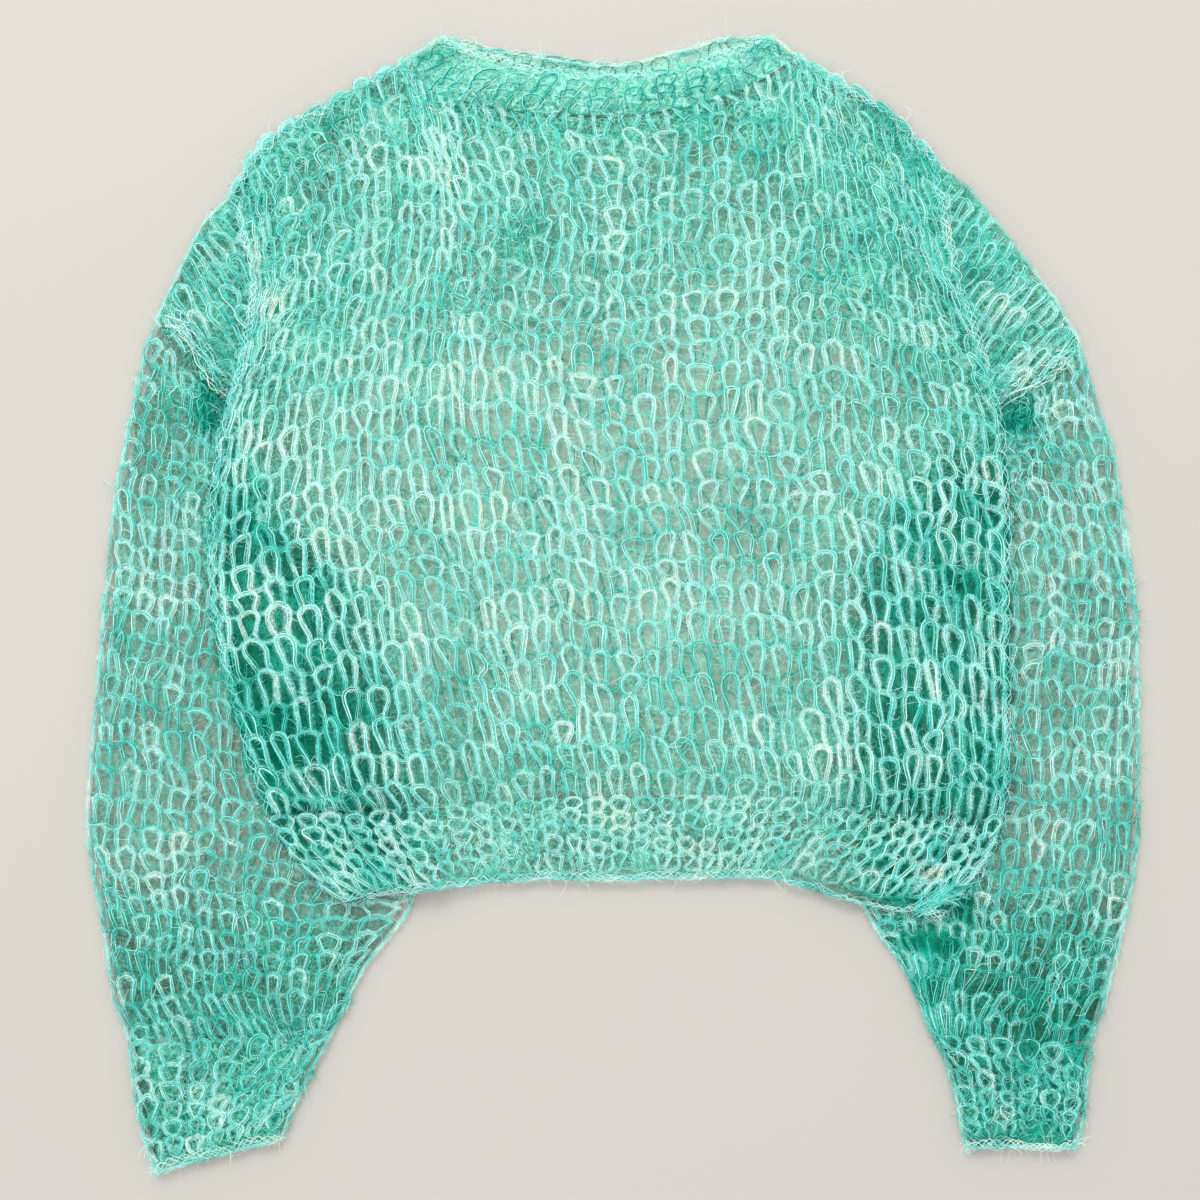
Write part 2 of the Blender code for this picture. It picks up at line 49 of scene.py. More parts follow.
outlines = {
    # share up, right side x, right side y, left side x, left side y
    "side": [
        (0.00, -216.7, -129.9, 239.0, -136.1), (0.10, -229.5, -95.0, 242.4, -98.0),
        (0.25, -245.0, -38.0, 242.5, -36.0), (0.35, -252.0, 0.0, 242.7, 5.0),
        (0.50, -252.0, 58.0, 242.5, 62.0), (0.60, -246.0, 104.0, 239.5, 102.0),
        (0.65, -240.9, 124.3, 235.9, 124.3), (0.75, -232.5, 159.0, 226.0, 161.0),
        (0.85, -228.0, 196.0, 212.5, 205.0), (0.95, -236.0, 234.0, 202.5, 251.5),
        (1.00, -241.5, 249.6, 198.7, 273.1),
    ],
    # share across, x, y of the front's edge, y of the back's edge
    "top": [
        (0.0000, -241.5, 249.6, 249.6), (0.0810, -218.4, 284.0, 284.0),
        (0.1620, -181.0, 307.6, 307.6), (0.2700, -133.0, 334.0, 334.0),
        (0.3272, -113.0, 316.5, 323.5), (0.3844, -86.0, 308.5, 317.0),
        (0.4417, -57.0, 304.2, 312.6), (0.4989, -27.0, 301.6, 309.8),
        (0.5561, 3.0, 301.4, 309.2), (0.6133, 33.0, 304.2, 311.2),
        (0.6706, 62.0, 312.0, 316.5), (0.7278, 89.0, 323.0, 325.5),
        (0.7850, 111.0, 337.6, 337.6), (0.8656, 142.6, 318.8, 318.8),
        (0.9194, 166.8, 304.6, 304.6), (1.0000, 198.7, 273.1, 273.1),
    ],
    # share across, seam x, seam y, lower edge x, lower edge y
    "hem": [
        (0.00, -216.7, -129.9, -173.3, -184.5), (0.08, -178.0, -130.0, -146.0, -181.0),
        (0.20, -122.5, -126.5, -104.0, -175.5), (0.33, -60.5, -123.0, -54.0, -171.6),
        (0.47, 1.6, -121.2, 0.0, -171.2), (0.60, 63.5, -121.8, 51.0, -170.6),
        (0.73, 125.5, -124.3, 97.7, -171.4), (0.87, 187.6, -130.0, 150.0, -186.0),
        (1.00, 239.0, -136.1, 199.5, -194.5),
    ],
    # share across, x, y of the front half, y of the back half
    "neck": [
        (0.00, -108.5, 350.6, 350.6), (0.14, -84.0, 338.5, 345.0),
        (0.28, -54.0, 331.5, 340.5), (0.42, -24.0, 328.0, 335.8),
        (0.54, 3.0, 327.0, 334.6), (0.68, 33.0, 330.5, 342.0),
        (0.84, 66.0, 340.0, 350.0), (1.00, 95.0, 351.0, 351.0),
    ],
    # sections from the cuff to the armhole: outer x, outer y, inner x, inner y, share of the armhole's curve
    "right": [
        (-302.4, -271.0, -179.5, -269.6, 0.00), (-310.6, -249.6, -168.9, -248.3, 0.00),
        (-315.4, -224.8, -157.2, -225.4, 0.00), (-319.0, -196.8, -142.9, -208.0, 0.00),
        (-325.4, -165.8, -129.9, -189.4, 0.00), (-328.6, -134.8, -124.3, -167.1, 0.00),
        (-326.2, -97.7, -122.5, -134.8, 0.00), (-322.6, -54.2, -126.8, -91.5, 0.00),
        (-318.4, -10.8, -136.1, -48.0, 0.00), (-315.2, 26.4, -147.2, -10.8, 0.00),
        (-311.4, 63.5, -168.9, 18.9, 0.00), (-305.6, 94.8, -198.1, 46.2, 0.00),
        (-298.6, 125.6, -220.4, 76.0, 0.00), (-294.0, 147.4, -236.5, 105.7, 0.00),
        (-291.6, 159.2, -245.6, 118.8, 0.00), (-287.6, 168.6, -245.4, 121.4, 0.15),
        (-283.0, 177.0, -244.9, 123.2, 0.25), (-269.0, 208.2, -243.9, 124.4, 0.50),
    ],
    "left": [
        (293.8, -273.0, 198.7, -271.6, 0.00), (298.5, -257.6, 188.8, -249.5, 0.00),
        (305.4, -234.1, 177.6, -225.5, 0.00), (312.2, -208.0, 161.5, -202.9, 0.00),
        (319.0, -175.2, 150.3, -178.2, 0.00), (322.7, -141.1, 145.4, -142.3, 0.00),
        (322.7, -97.7, 141.7, -100.8, 0.00), (322.7, -54.2, 142.9, -60.5, 0.00),
        (321.5, -10.8, 142.9, -18.3, 0.00), (317.8, 27.6, 150.3, 18.9, 0.00),
        (312.2, 63.5, 165.8, 49.9, 0.00), (306.6, 95.8, 184.4, 74.7, 0.00),
        (296.7, 124.3, 209.2, 89.6, 0.00), (290.5, 145.4, 230.9, 105.7, 0.00),
        (287.0, 156.8, 240.6, 118.6, 0.00), (282.6, 166.8, 240.4, 121.1, 0.15),
        (270.2, 186.8, 239.9, 122.9, 0.25),
    ],
    # sections from the open end to the sleeve: outer x, outer y, inner x, inner y
    "rightCuff": [
        (-286.5, -352.8, -209.0, -332.0), (-294.2, -328.4, -202.0, -314.0),
        (-299.6, -299.5, -192.0, -293.0), (-302.2, -271.8, -179.8, -270.5),
    ],
    "leftCuff": [
        (283.6, -337.4, 217.3, -337.0), (289.2, -316.9, 212.3, -315.6),
        (291.1, -295.8, 208.0, -293.3), (293.5, -273.8, 199.1, -272.5),
    ],
    # x, y round the part of each sleeve that folds over itself below the armhole, its fold last
    "rightCap": [
        (-240.0, 126.5), (-228.0, 149.0), (-223.0, 172.0), (-221.5, 196.0), (-225.0, 220.0), (-231.0, 240.0),
        (-240.5, 251.5), (-256.0, 236.5), (-270.0, 209.0), (-285.5, 176.0), (-282.0, 167.0), (-271.0, 158.0),
        (-264.5, 146.5), (-252.5, 133.5),
    ],
    "leftCap": [
        (232.0, 120.5), (225.0, 140.0), (220.0, 160.0), (212.5, 182.0), (206.0, 204.0), (200.5, 228.0),
        (196.5, 274.0), (218.5, 255.4), (243.8, 224.4), (271.2, 187.8), (285.5, 163.0), (287.0, 152.0),
        (273.1, 143.9), (248.3, 128.5),
    ],
}
underarm = 0.65                  # share up the side at which the armhole begins
neckFrom, neckTo = 0.27, 0.785   # shares of the top edge between which the neck lies
period = 97                      # nodes of the noise each way, before it repeats


def smoothStep(x):
    x = np.clip(x, 0.0, 1.0)
    return x * x * (3.0 - 2.0 * x)


def unit(vectors):
    return vectors / np.maximum(np.linalg.norm(vectors, axis=-1, keepdims=True), 1e-9)


def lengthAlong(points):
    return np.concatenate([[0], np.cumsum(np.linalg.norm(np.diff(points, axis=0), axis=1))])


def rowAt(rows, share, corners=()):
    # smooth curves through the rows of a table, with a sharp turn at each corner share
    rows = np.array(rows, float)
    keys, values = rows[:, 0], rows[:, 1:]
    last = len(keys) - 1
    share = np.clip(share, keys[0], keys[-1])
    here = np.clip(np.searchsorted(keys, share) - 1, 0, last - 1)
    after = here + 1
    sharp = np.isin(keys, corners)
    before = np.where(sharp[here], here, np.maximum(here - 1, 0))
    beyond = np.where(sharp[after], after, np.minimum(after + 1, last))
    span = keys[after] - keys[here]
    part = ((share - keys[here]) / span)[..., None]
    slopeHere = (values[after] - values[before]) / (keys[after] - keys[before])[..., None] * span[..., None]
    slopeAfter = (values[beyond] - values[here]) / (keys[beyond] - keys[here])[..., None] * span[..., None]
    square, cube = part ** 2, part ** 3
    return ((2 * cube - 3 * square + 1) * values[here] + (cube - 2 * square + part) * slopeHere
            + (3 * square - 2 * cube) * values[after] + (cube - square) * slopeAfter)


def numbered(rows):
    return [(float(number), *row) for number, row in enumerate(rows)]


def noise(seed, x, y, wrap=None):
    # smooth values from -1 to 1 with a node at each whole number
    nodes = np.random.default_rng(seed).uniform(-1.0, 1.0, (period, period))
    x, y = np.broadcast_arrays(np.asarray(x, float), np.asarray(y, float))
    column, row = np.floor(x).astype(int), np.floor(y).astype(int)
    across, up = smoothStep(x - column), smoothStep(y - row)
    turn = wrap or period
    low, high = column % turn, (column + 1) % turn
    row, above = row % period, (row + 1) % period
    bottom = nodes[row, low] * (1 - across) + nodes[row, high] * across
    top = nodes[above, low] * (1 - across) + nodes[above, high] * across
    return bottom * (1 - up) + top * up


def surfaceOf(node):
    work = bmesh.new()
    work.from_mesh(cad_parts[node].data)
    tree = BVHTree.FromBMesh(work)
    work.free()
    return tree


trees = {node: surfaceOf(node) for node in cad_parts}
# where a ray starts, and beside a solid the height to search from and the least one, millimetres
ray = {"start": 100.0, "beside": 8.0, "least": 3.0}


def wallMiddle(tree, plan, fromAbove):
    # height of the middle of a solid's wall under or over each point of the plan, millimetres
    step = -1.0 if fromAbove else 1.0
    heights = []
    for x, y in plan.reshape(-1, 2):
        place = Vector(((x + middle[0]) * mm, (y + middle[1]) * mm, -step * ray["start"] * mm))
        hit = tree.ray_cast(place, Vector((0.0, 0.0, step)))[0]
        if hit is None:
            place.z = ray["beside"] * mm if fromAbove else 0.0
            hit = tree.find_nearest(place)[0]
            if fromAbove:
                hit.z = max(hit.z, ray["least"] * mm)
        heights.append(hit.z / mm + step * wall / 2)
    return np.array(heights).reshape(plan.shape[:-1])


def onWall(tree, plan, rise=0.0):
    # points of the frame, millimetres, on the upper wall of a solid
    return np.concatenate([plan + middle, wallMiddle(tree, plan, True)[:, None] + rise], 1)


def upward(count):
    return np.tile([0.0, 0.0, 1.0], (count, 1))


def makeGuide(plan, heights, around=False, facing=1.0):
    # the middle of a wall as a grid of points and outward directions
    points = np.concatenate([plan + np.array(middle), heights[..., None]], -1)
    if around:
        alongS = np.roll(points, -1, 1) - np.roll(points, 1, 1)
    else:
        alongS = np.gradient(points, axis=1)
    out = unit(np.cross(alongS, np.gradient(points, axis=0)))
    half = points.shape[1] // 2
    upper = out[:, 2:half - 2] if around else out     # the first half of a tube is its upper side
    if upper[..., 2].mean() * facing < 0:
        out = -out
    return {"points": points, "out": out, "around": around,
            "stitches": points.shape[1] // fine, "rows": (points.shape[0] - 1) // fine}


def between(grid, row, low, high, across, up):
    return ((grid[row, low] * (1 - across) + grid[row, high] * across) * (1 - up)
            + (grid[row + 1, low] * (1 - across) + grid[row + 1, high] * across) * up)


def onGuide(guide, s, v):
    # place and outward direction at a stitch and row, millimetres
    points = guide["points"]
    column, row = np.floor(s * fine).astype(int), np.floor(v * fine).astype(int)
    row = np.clip(row, 0, points.shape[0] - 2)
    if not guide["around"]:
        column = np.clip(column, 0, points.shape[1] - 2)
    across, up = (s * fine - column)[..., None], (v * fine - row)[..., None]
    low, high = column % points.shape[1], (column + 1) % points.shape[1]
    place = between(points, row, low, high, across, up)
    return place, unit(between(guide["out"], row, low, high, np.clip(across, 0, 1), np.clip(up, 0, 1)))


# how far a net stays off its sides, how much taller its lower rows are, how far columns lean and from where
panelShape = {"inset": 0.003, "taller": 0.055, "lean": 0.030, "leanFrom": 0.25}


def panelGuide(node, stitches, rows, neckColumn, facing):
    # stitch columns run from the hem's seam to the top edge
    inset, leanFrom = panelShape["inset"], panelShape["leanFrom"]
    u = np.linspace(inset, 1 - inset, stitches * fine + 1)[None, :]
    up = np.linspace(0.0, 1.0, rows * fine + 1)[:, None]
    v = up + panelShape["taller"] * np.sin(np.pi * up)
    raised = np.sin(np.pi * np.clip((v - leanFrom) / (1 - leanFrom), 0, 1)) ** 2
    lean = panelShape["lean"] * np.sin(np.pi * u) * raised
    u, v = np.broadcast_arrays(np.clip(u - lean, 0.0, 1.0), v)
    side, hem = rowAt(outlines["side"], v, (underarm,)), rowAt(outlines["hem"], u)
    top = rowAt(outlines["top"], u, (neckFrom, neckTo))
    low, high = outlines["side"][0], outlines["side"][-1]
    plan = []
    for axis in (0, 1):
        edge = top[..., 0] if axis == 0 else top[..., neckColumn]
        across = (1 - v) * hem[..., axis] + v * edge
        upright = (1 - u) * side[..., axis] + u * side[..., 2 + axis]
        corners = (1 - v) * ((1 - u) * low[1 + axis] + u * low[3 + axis])
        corners = corners + v * ((1 - u) * high[1 + axis] + u * high[3 + axis])
        plan.append(across + upright - corners)
    plan = np.stack(plan, -1)
    return makeGuide(plan, wallMiddle(trees[node], plan, True), False, facing)


# how far in from its ends a flattened tube rounds over: millimetres, and the least and most of its width
tubeShape = {"edge": 5.0, "least": 0.01, "most": 0.2}


def tubeGuide(node, around, rows, place):
    # a flattened tube: over the top from one end to the other and back underneath
    turn = np.arange(around * fine) / (around * fine)
    share = 1 - np.abs(1 - 2 * turn)                  # 0 at the first end, 1 at the other
    onTop = turn < 0.5
    up = np.linspace(0.0, 1.0, rows * fine + 1)
    plan, inner, share = place(share[None, :], up[:, None], onTop[None, :])
    top = wallMiddle(trees[node], inner, True)
    bottom = wallMiddle(trees[node], inner, False)
    width = np.linalg.norm(plan[:, around * fine // 2] - plan[:, 0], axis=-1)[:, None]
    edge = np.clip(tubeShape["edge"] / width, tubeShape["least"], tubeShape["most"])
    away = np.clip((np.abs(2 * share - 1) - (1 - 2 * edge)) / (2 * edge), 0, 1)
    bulge = np.sqrt(1 - away ** 2)
    centre, half = (top + bottom) / 2, (top - bottom) / 2
    return makeGuide(plan, centre + half * bulge * np.where(onTop, 1.0, -1.0), True)


# millimetres that a cap's net runs on past its outline, and that its upper layer lies over the sleeve
capShape = {"past": (9.0, 12.0), "over": 1.3}


def capGuide(node, cap, onTop):
    # a sleeve's net below the armhole, whose columns slant away from the seam
    across = np.array(cap["across"])
    up = np.array([-across[1], across[0]])
    edge = np.array(outlines[cap["outline"]])
    low = np.array([(edge @ across).min(), (edge @ up).min()]) - capShape["past"]
    high = np.array([(edge @ across).max(), (edge @ up).max()]) + capShape["past"]
    stitches, rows = round((high[0] - low[0]) / cap["wide"]), round((high[1] - low[1]) / cap["tall"])
    s = np.linspace(low[0], high[0], stitches * fine + 1)[None, :, None]
    v = np.linspace(low[1], high[1], rows * fine + 1)[:, None, None]
    plan = s * across + v * up
    heights = wallMiddle(trees[node], plan, onTop)
    if onTop:
        return makeGuide(plan, heights + capShape["over"])
    return makeGuide(plan, heights, False, -1.0)


# a stitch at the outer edge, how loose and how tight the rest may lie, and how the one passes into the other
sleeveShape = {"stitch": 13.8, "loosest": 0.78, "tightest": 2.6, "power": 6, "blend": 0.4, "inset": 0.06}
cuffInset, hemInset, neckInset = 0.08, 0.02, 0.03     # share of the width at which the wall is first met


def insetBy(share, inset):
    return np.clip(share, inset, 1 - inset)


def sleevePlace(rows, columns, last, stitches):
    table = numbered(outlines[rows])
    seamColumns = [column - 1 for column in columns]
    top = np.array(outlines["side"][-1])[list(columns)]
    low = rowAt(outlines["side"], np.array(underarm), (underarm,))[seamColumns]

    # rows are spaced evenly along the outer edge
    steps = np.linspace(0, last, 400)
    length = lengthAlong(rowAt(table, steps)[:, :2])

    def place(share, up, onTop):
        section = rowAt(table, np.interp(up, length / length[-1], steps))
        outer, inner, bend = section[..., 0:2], section[..., 2:4], section[..., 4:5]

        def at(part):
            seam = rowAt(outlines["side"], 1 - (1 - underarm) * part, (underarm,))
            bow = seam[..., seamColumns] - (top + (low - top) * part[..., None])
            return outer + (inner - outer) * part[..., None] + bow * bend

        # stitches keep their width at the outer edge, and the rest is pressed together at the inner one
        shape, power = sleeveShape, sleeveShape["power"]
        width = np.linalg.norm(inner - outer, axis=-1)
        crowd = np.clip(shape["stitch"] * stitches / width, shape["loosest"], shape["tightest"])
        spread = 1 - (1 - share) ** crowd
        pressed = share * crowd / (1 + (share * crowd) ** power) ** (1 / power)
        pressed = pressed * (1 + crowd ** power) ** (1 / power) / crowd
        share = spread + (pressed - spread) * smoothStep((crowd - 1.0) / shape["blend"])
        return at(share), at(insetBy(share, shape["inset"])), share

    return place


def cuffPlace(rows):
    table = numbered(outlines[rows])

    def place(share, up, onTop):
        share, up = np.broadcast_arrays(share, up)
        section = rowAt(table, up * (len(table) - 1))
        outer, inner = section[..., 0:2], section[..., 2:4]
        part = share[..., None]
        return outer + (inner - outer) * part, outer + (inner - outer) * insetBy(part, cuffInset), share

    return place


hemShape = {"bulge": 7.0, "above": 0.5}               # how far its ends stand out, and how far up it begins


def hemPlace(share, up, onTop):
    def at(part):
        row = rowAt(outlines["hem"], part)
        bulge = 4 * up * (1 - up) * (2 * part - 1) ** 3 * hemShape["bulge"]
        down, above = 1 - up, hemShape["above"]
        return np.stack([row[..., 0] + (row[..., 2] - row[..., 0]) * down + bulge,
                         row[..., 1] - above + (row[..., 3] - row[..., 1] + above) * down], -1)

    share, up = np.broadcast_arrays(share, up)
    return at(share), at(insetBy(share, hemInset)), share


neckAbove = 0.9                                       # how far over its seam the neckband begins


def neckPlace(share, up, onTop):
    def at(part):
        seam = rowAt(outlines["top"], neckFrom + (neckTo - neckFrom) * part, (neckFrom, neckTo))
        edge = rowAt(outlines["neck"], part)
        seamY = np.where(onTop, seam[..., 1], seam[..., 2]) + neckAbove
        edgeY = np.where(onTop, edge[..., 1], edge[..., 2])
        return np.stack([seam[..., 0] + (edge[..., 0] - seam[..., 0]) * up, seamY + (edgeY - seamY) * up], -1)

    share, up = np.broadcast_arrays(share, up)
    return at(share), at(insetBy(share, neckInset)), share


def hidden(points, others, way=1.0):
    # 1 where one of the other solids lies over a point, or under it
    over = np.zeros(len(points))
    direction = Vector((0.0, 0.0, way))
    for number, spot in enumerate(points):
        place = Vector(spot * mm)
        over[number] = any(trees[node].ray_cast(place, direction)[0] is not None for node in others)
    return over


def nearOutline(plan, outline):
    # the nearest place on a closed outline, and how far away it is
    best, far = plan.copy(), np.full(len(plan), 1e9)
    corners = np.array(outline)
    for start, end in zip(corners, np.roll(corners, -1, 0)):
        side = end - start
        part = np.clip((plan - start) @ side / (side @ side), 0.0, 1.0)
        spot = start + part[:, None] * side
        away = np.linalg.norm(plan - spot, axis=1)
        best[away < far] = spot[away < far]
        far = np.minimum(far, away)
    return best, far


def within(plan, outline):
    # True for points inside a closed outline
    x, y = plan[..., 0], plan[..., 1]
    inside = np.zeros(x.shape, bool)
    for (x0, y0), (x1, y1) in zip(outline, outline[1:] + outline[:1]):
        if y0 != y1:
            inside ^= ((y0 > y) != (y1 > y)) & (x < (x1 - x0) * (y - y0) / (y1 - y0) + x0)
    return inside


def addNode(tree, kind, inputs=None, **settings):
    # a node with its settings, and a value or another node's output on each of its inputs
    node = tree.nodes.new(kind)
    for key, value in settings.items():
        setattr(node, key, value)
    for key, value in (inputs or {}).items():
        if isinstance(value, bpy.types.NodeSocket):
            tree.links.new(value, node.inputs[key])
        else:
            node.inputs[key].default_value = value
    return node


def mathNode(tree, operation, first, second, third=0.0, clamp=False):
    inputs = {0: first, 1: second, 2: third}
    return addNode(tree, "ShaderNodeMath", inputs, operation=operation, use_clamp=clamp).outputs["Value"]


def rangeNode(tree, value, least, most, start=0.0, end=1.0, clamp=True):
    inputs = {"Value": value, "From Min": start, "From Max": end, "To Min": least, "To Max": most}
    return addNode(tree, "ShaderNodeMapRange", inputs, clamp=clamp).outputs["Result"]


def attributeNode(tree, name):
    return addNode(tree, "ShaderNodeAttribute", attribute_name=name).outputs["Fac"]


# A shader mask shared by the nap and the halo: fine fibres that lie in every direction.
fibreLook = {
    "layers": [(15.0, 7.0), (74.0, 5.0), (131.0, 6.0)],      # direction in degrees, length over width
    "drift": (0.37, 0.11), "detail": 1.0, "distortion": 0.8, "ridge": (0.45, 0.50), "share": 0.6,
}


def fibreGroup():
    group = bpy.data.node_groups.new("fibres", "ShaderNodeTree")
    group.interface.new_socket("Vector", in_out="INPUT", socket_type="NodeSocketVector")
    group.interface.new_socket("Spacing", in_out="INPUT", socket_type="NodeSocketFloat")
    group.interface.new_socket("Mask", in_out="OUTPUT", socket_type="NodeSocketFloat")
    start, end = group.nodes.new("NodeGroupInput"), group.nodes.new("NodeGroupOutput")
    driftX, driftY = fibreLook["drift"]
    total = 0.0
    for number, (angle, stretch) in enumerate(fibreLook["layers"]):
        turn = addNode(group, "ShaderNodeMapping", {
            "Vector": start.outputs["Vector"], "Rotation": (0.0, 0.0, math.radians(angle)),
            "Location": (driftX * number, driftY * number, 0.0)})
        squeeze = addNode(group, "ShaderNodeVectorMath", {
            0: turn.outputs["Vector"], 1: (1.0 / stretch, 1.0, 1.0 / stretch)}, operation="MULTIPLY")
        spots = addNode(group, "ShaderNodeTexNoise", {
            "Vector": squeeze.outputs["Vector"], "Scale": start.outputs["Spacing"],
            "Detail": fibreLook["detail"], "Distortion": fibreLook["distortion"]})
        ridge = mathNode(group, "PINGPONG", spots.outputs["Fac"], 0.5)      # bright at the noise's middle
        total = mathNode(group, "ADD", total, rangeNode(group, ridge, 0.0, 1.0, *fibreLook["ridge"]))
    group.links.new(mathNode(group, "MULTIPLY", total, fibreLook["share"], clamp=True), end.inputs["Mask"])
    return group


fibres = fibreGroup()
dyes = {
    # place on the ramp, sRGB colour
    "yarn": [(0.00, (0.00, 0.54, 0.44)), (0.20, (0.12, 0.76, 0.69)), (0.44, (0.42, 0.92, 0.89)),
             (0.64, (0.72, 0.99, 0.97)), (0.88, (0.93, 1.00, 1.00)), (1.00, (0.94, 1.00, 0.93))],
    "hair": [(0.00, (0.00, 0.54, 0.44)), (0.22, (0.12, 0.76, 0.68)), (0.44, (0.40, 0.91, 0.86)),
             (0.66, (0.70, 0.99, 0.95)), (0.88, (0.91, 1.00, 0.99)), (1.00, (0.93, 1.00, 0.92))],
    # painted shade under other layers moves the nap along this ramp towards its dark end
    "nap": [(0.00, (0.00, 0.44, 0.34)), (0.45, (0.06, 0.66, 0.55)), (0.75, (0.21, 0.80, 0.68)),
            (1.00, (0.55, 0.97, 0.87))],
}
napLook = {
    "spacing": 260.0, "cloudSize": 48.0, "cloudDetail": 3.0, "mottled": 1.8,
    "open": -0.25, "covered": -0.85,        # painted shade: shift of the colour with nothing above, and under a layer
    "streak": (0.74, 0.98, 0.89), "streaky": 0.75,
    "least": 0.12, "most": 0.44, "packed": 7.0,      # cover beside and on the fibres, and layers in a fold
}
haloLook = {"spacing": 420.0, "least": 0.16, "most": 0.80}
sheenLook = {"roughness": 0.35, "tint": (0.80, 1.0, 0.95), "specular": 0.25}
softLook = {"roughness": 0.9, "specular": 0.1}


def linear(color):
    return [c / 12.92 if c <= 0.04045 else ((c + 0.055) / 1.055) ** 2.4 for c in color] + [1.0]


def dyeRamp(tree, stops, value):
    ramp = addNode(tree, "ShaderNodeValToRGB", {"Fac": value})
    while len(ramp.color_ramp.elements) < len(stops):
        ramp.color_ramp.elements.new(0.5)
    for element, (place, color) in zip(ramp.color_ramp.elements, stops):
        element.position = place
        element.color = linear(color)
    return ramp.outputs["Color"]


def newMaterial(name, roughness, specular):
    material = bpy.data.materials.new(name)
    material.use_nodes = True
    shader = material.node_tree.nodes["Principled BSDF"]
    shader.inputs["Roughness"].default_value = roughness
    shader.inputs["Specular IOR Level"].default_value = specular
    return material, material.node_tree, shader


def strandMaterial(name, stops, sheen, roughness):
    material, tree, shader = newMaterial(name, roughness, sheenLook["specular"])
    # the colour attribute holds the dye, with painted shade taken off under other layers, at the feet and in
    # shaded places
    tree.links.new(dyeRamp(tree, stops, attributeNode(tree, "dye")), shader.inputs["Base Color"])
    shader.inputs["Sheen Weight"].default_value = sheen
    shader.inputs["Sheen Roughness"].default_value = sheenLook["roughness"]
    shader.inputs["Sheen Tint"].default_value = linear(sheenLook["tint"])
    return material


def fibreMask(tree, spacing):
    place = addNode(tree, "ShaderNodeTexCoord").outputs["Object"]
    mask = addNode(tree, "ShaderNodeGroup", {"Spacing": spacing, "Vector": place}, node_tree=fibres)
    return place, mask.outputs["Mask"]


def napMaterial():
    material, tree, shader = newMaterial("mohairNap", **softLook)
    place, mask = fibreMask(tree, napLook["spacing"])
    clouds = addNode(tree, "ShaderNodeTexNoise", {
        "Scale": napLook["cloudSize"], "Detail": napLook["cloudDetail"], "Vector": place})
    deep, dense = attributeNode(tree, "deep"), attributeNode(tree, "dense")

    # painted shade: a deeper colour where other layers lie above, and pale fibres only where none does
    shift = rangeNode(tree, deep, napLook["open"], napLook["covered"], clamp=False)
    tone = mathNode(tree, "MULTIPLY_ADD", clouds.outputs["Fac"], napLook["mottled"], shift)
    pale = mathNode(tree, "MULTIPLY", mask, rangeNode(tree, deep, napLook["streaky"], 0.0))
    streak = addNode(tree, "ShaderNodeMix", data_type="RGBA")
    streak.inputs["B"].default_value = linear(napLook["streak"])
    tree.links.new(dyeRamp(tree, dyes["nap"], tone), streak.inputs["A"])
    tree.links.new(pale, streak.inputs["Factor"])
    tree.links.new(streak.outputs["Result"], shader.inputs["Base Color"])

    # what one layer lets through, to the power of the layers that are pressed together
    gap = mathNode(tree, "SUBTRACT", 1.0, rangeNode(tree, mask, napLook["least"], napLook["most"]))
    cover = mathNode(tree, "SUBTRACT", 1.0, mathNode(tree, "POWER", gap, dense), clamp=True)
    tree.links.new(cover, shader.inputs["Alpha"])
    return material


def haloMaterial():
    # a soft ribbon of fibres on either side of a strand, which fades to its edges
    material, tree, shader = newMaterial("mohairHalo", **softLook)
    mask = fibreMask(tree, haloLook["spacing"])[1]
    # the colour attribute holds the dye, with painted shade taken off under other layers and in shaded places
    tree.links.new(dyeRamp(tree, dyes["hair"], attributeNode(tree, "dye")), shader.inputs["Base Color"])
    across = attributeNode(tree, "across")
    bell = mathNode(tree, "MULTIPLY", across, mathNode(tree, "SUBTRACT", 1.0, across))
    thin = rangeNode(tree, mask, 4 * haloLook["least"], 4 * haloLook["most"])
    tree.links.new(mathNode(tree, "MULTIPLY", thin, bell, clamp=True), shader.inputs["Alpha"])
    return material


yarnLook = strandMaterial("mohairYarn", dyes["yarn"], sheen=0.30, roughness=0.75)
hairLook = strandMaterial("mohairHair", dyes["hair"], sheen=0.20, roughness=0.8)
filmLook = napMaterial()
haloCover = haloMaterial()


def strandTool(name, flat, material):
    # Geometry Nodes: every chain of edges becomes a thin round strand, or a flat hair
    tool = bpy.data.node_groups.new(name, "GeometryNodeTree")
    tool.interface.new_socket("Geometry", in_out="INPUT", socket_type="NodeSocketGeometry")
    tool.interface.new_socket("Geometry", in_out="OUTPUT", socket_type="NodeSocketGeometry")
    start, end = tool.nodes.new("NodeGroupInput"), tool.nodes.new("NodeGroupOutput")

    def step(kind, output, inputs, **settings):
        return addNode(tool, "GeometryNode" + kind, inputs, **settings).outputs[output]

    thick, roll = [step("InputNamedAttribute", "Attribute", {"Name": key}, data_type="FLOAT")
                   for key in ("thick", "roll")]
    chain = step("MeshToCurve", "Curve", {"Mesh": start.outputs["Geometry"]})
    chain = step("SetCurveNormal", "Curve", {"Curve": chain}, mode="Z_UP")
    chain = step("SetCurveTilt", "Curve", {"Curve": chain, "Tilt": roll})
    chain = step("SetCurveRadius", "Curve", {"Curve": chain, "Radius": thick})
    if flat:
        shape = step("CurvePrimitiveLine", "Curve", {"Start": (-1.0, 0.0, 0.0), "End": (1.0, 0.0, 0.0)})
        share = step("SplineParameter", "Factor", {})
        shape = step("StoreNamedAttribute", "Geometry", {"Geometry": shape, "Name": "across", "Value": share})
    else:
        shape = step("CurvePrimitiveCircle", "Curve", {"Resolution": 3, "Radius": 1.0})
    skin = step("CurveToMesh", "Mesh", {
        "Curve": chain, "Profile Curve": shape, "Scale": thick, "Fill Caps": not flat})
    skin = step("SetShadeSmooth", "Geometry", {"Geometry": skin})
    skin = step("SetMaterial", "Geometry", {"Geometry": skin, "Material": material})
    tool.links.new(skin, end.inputs["Geometry"])
    return tool


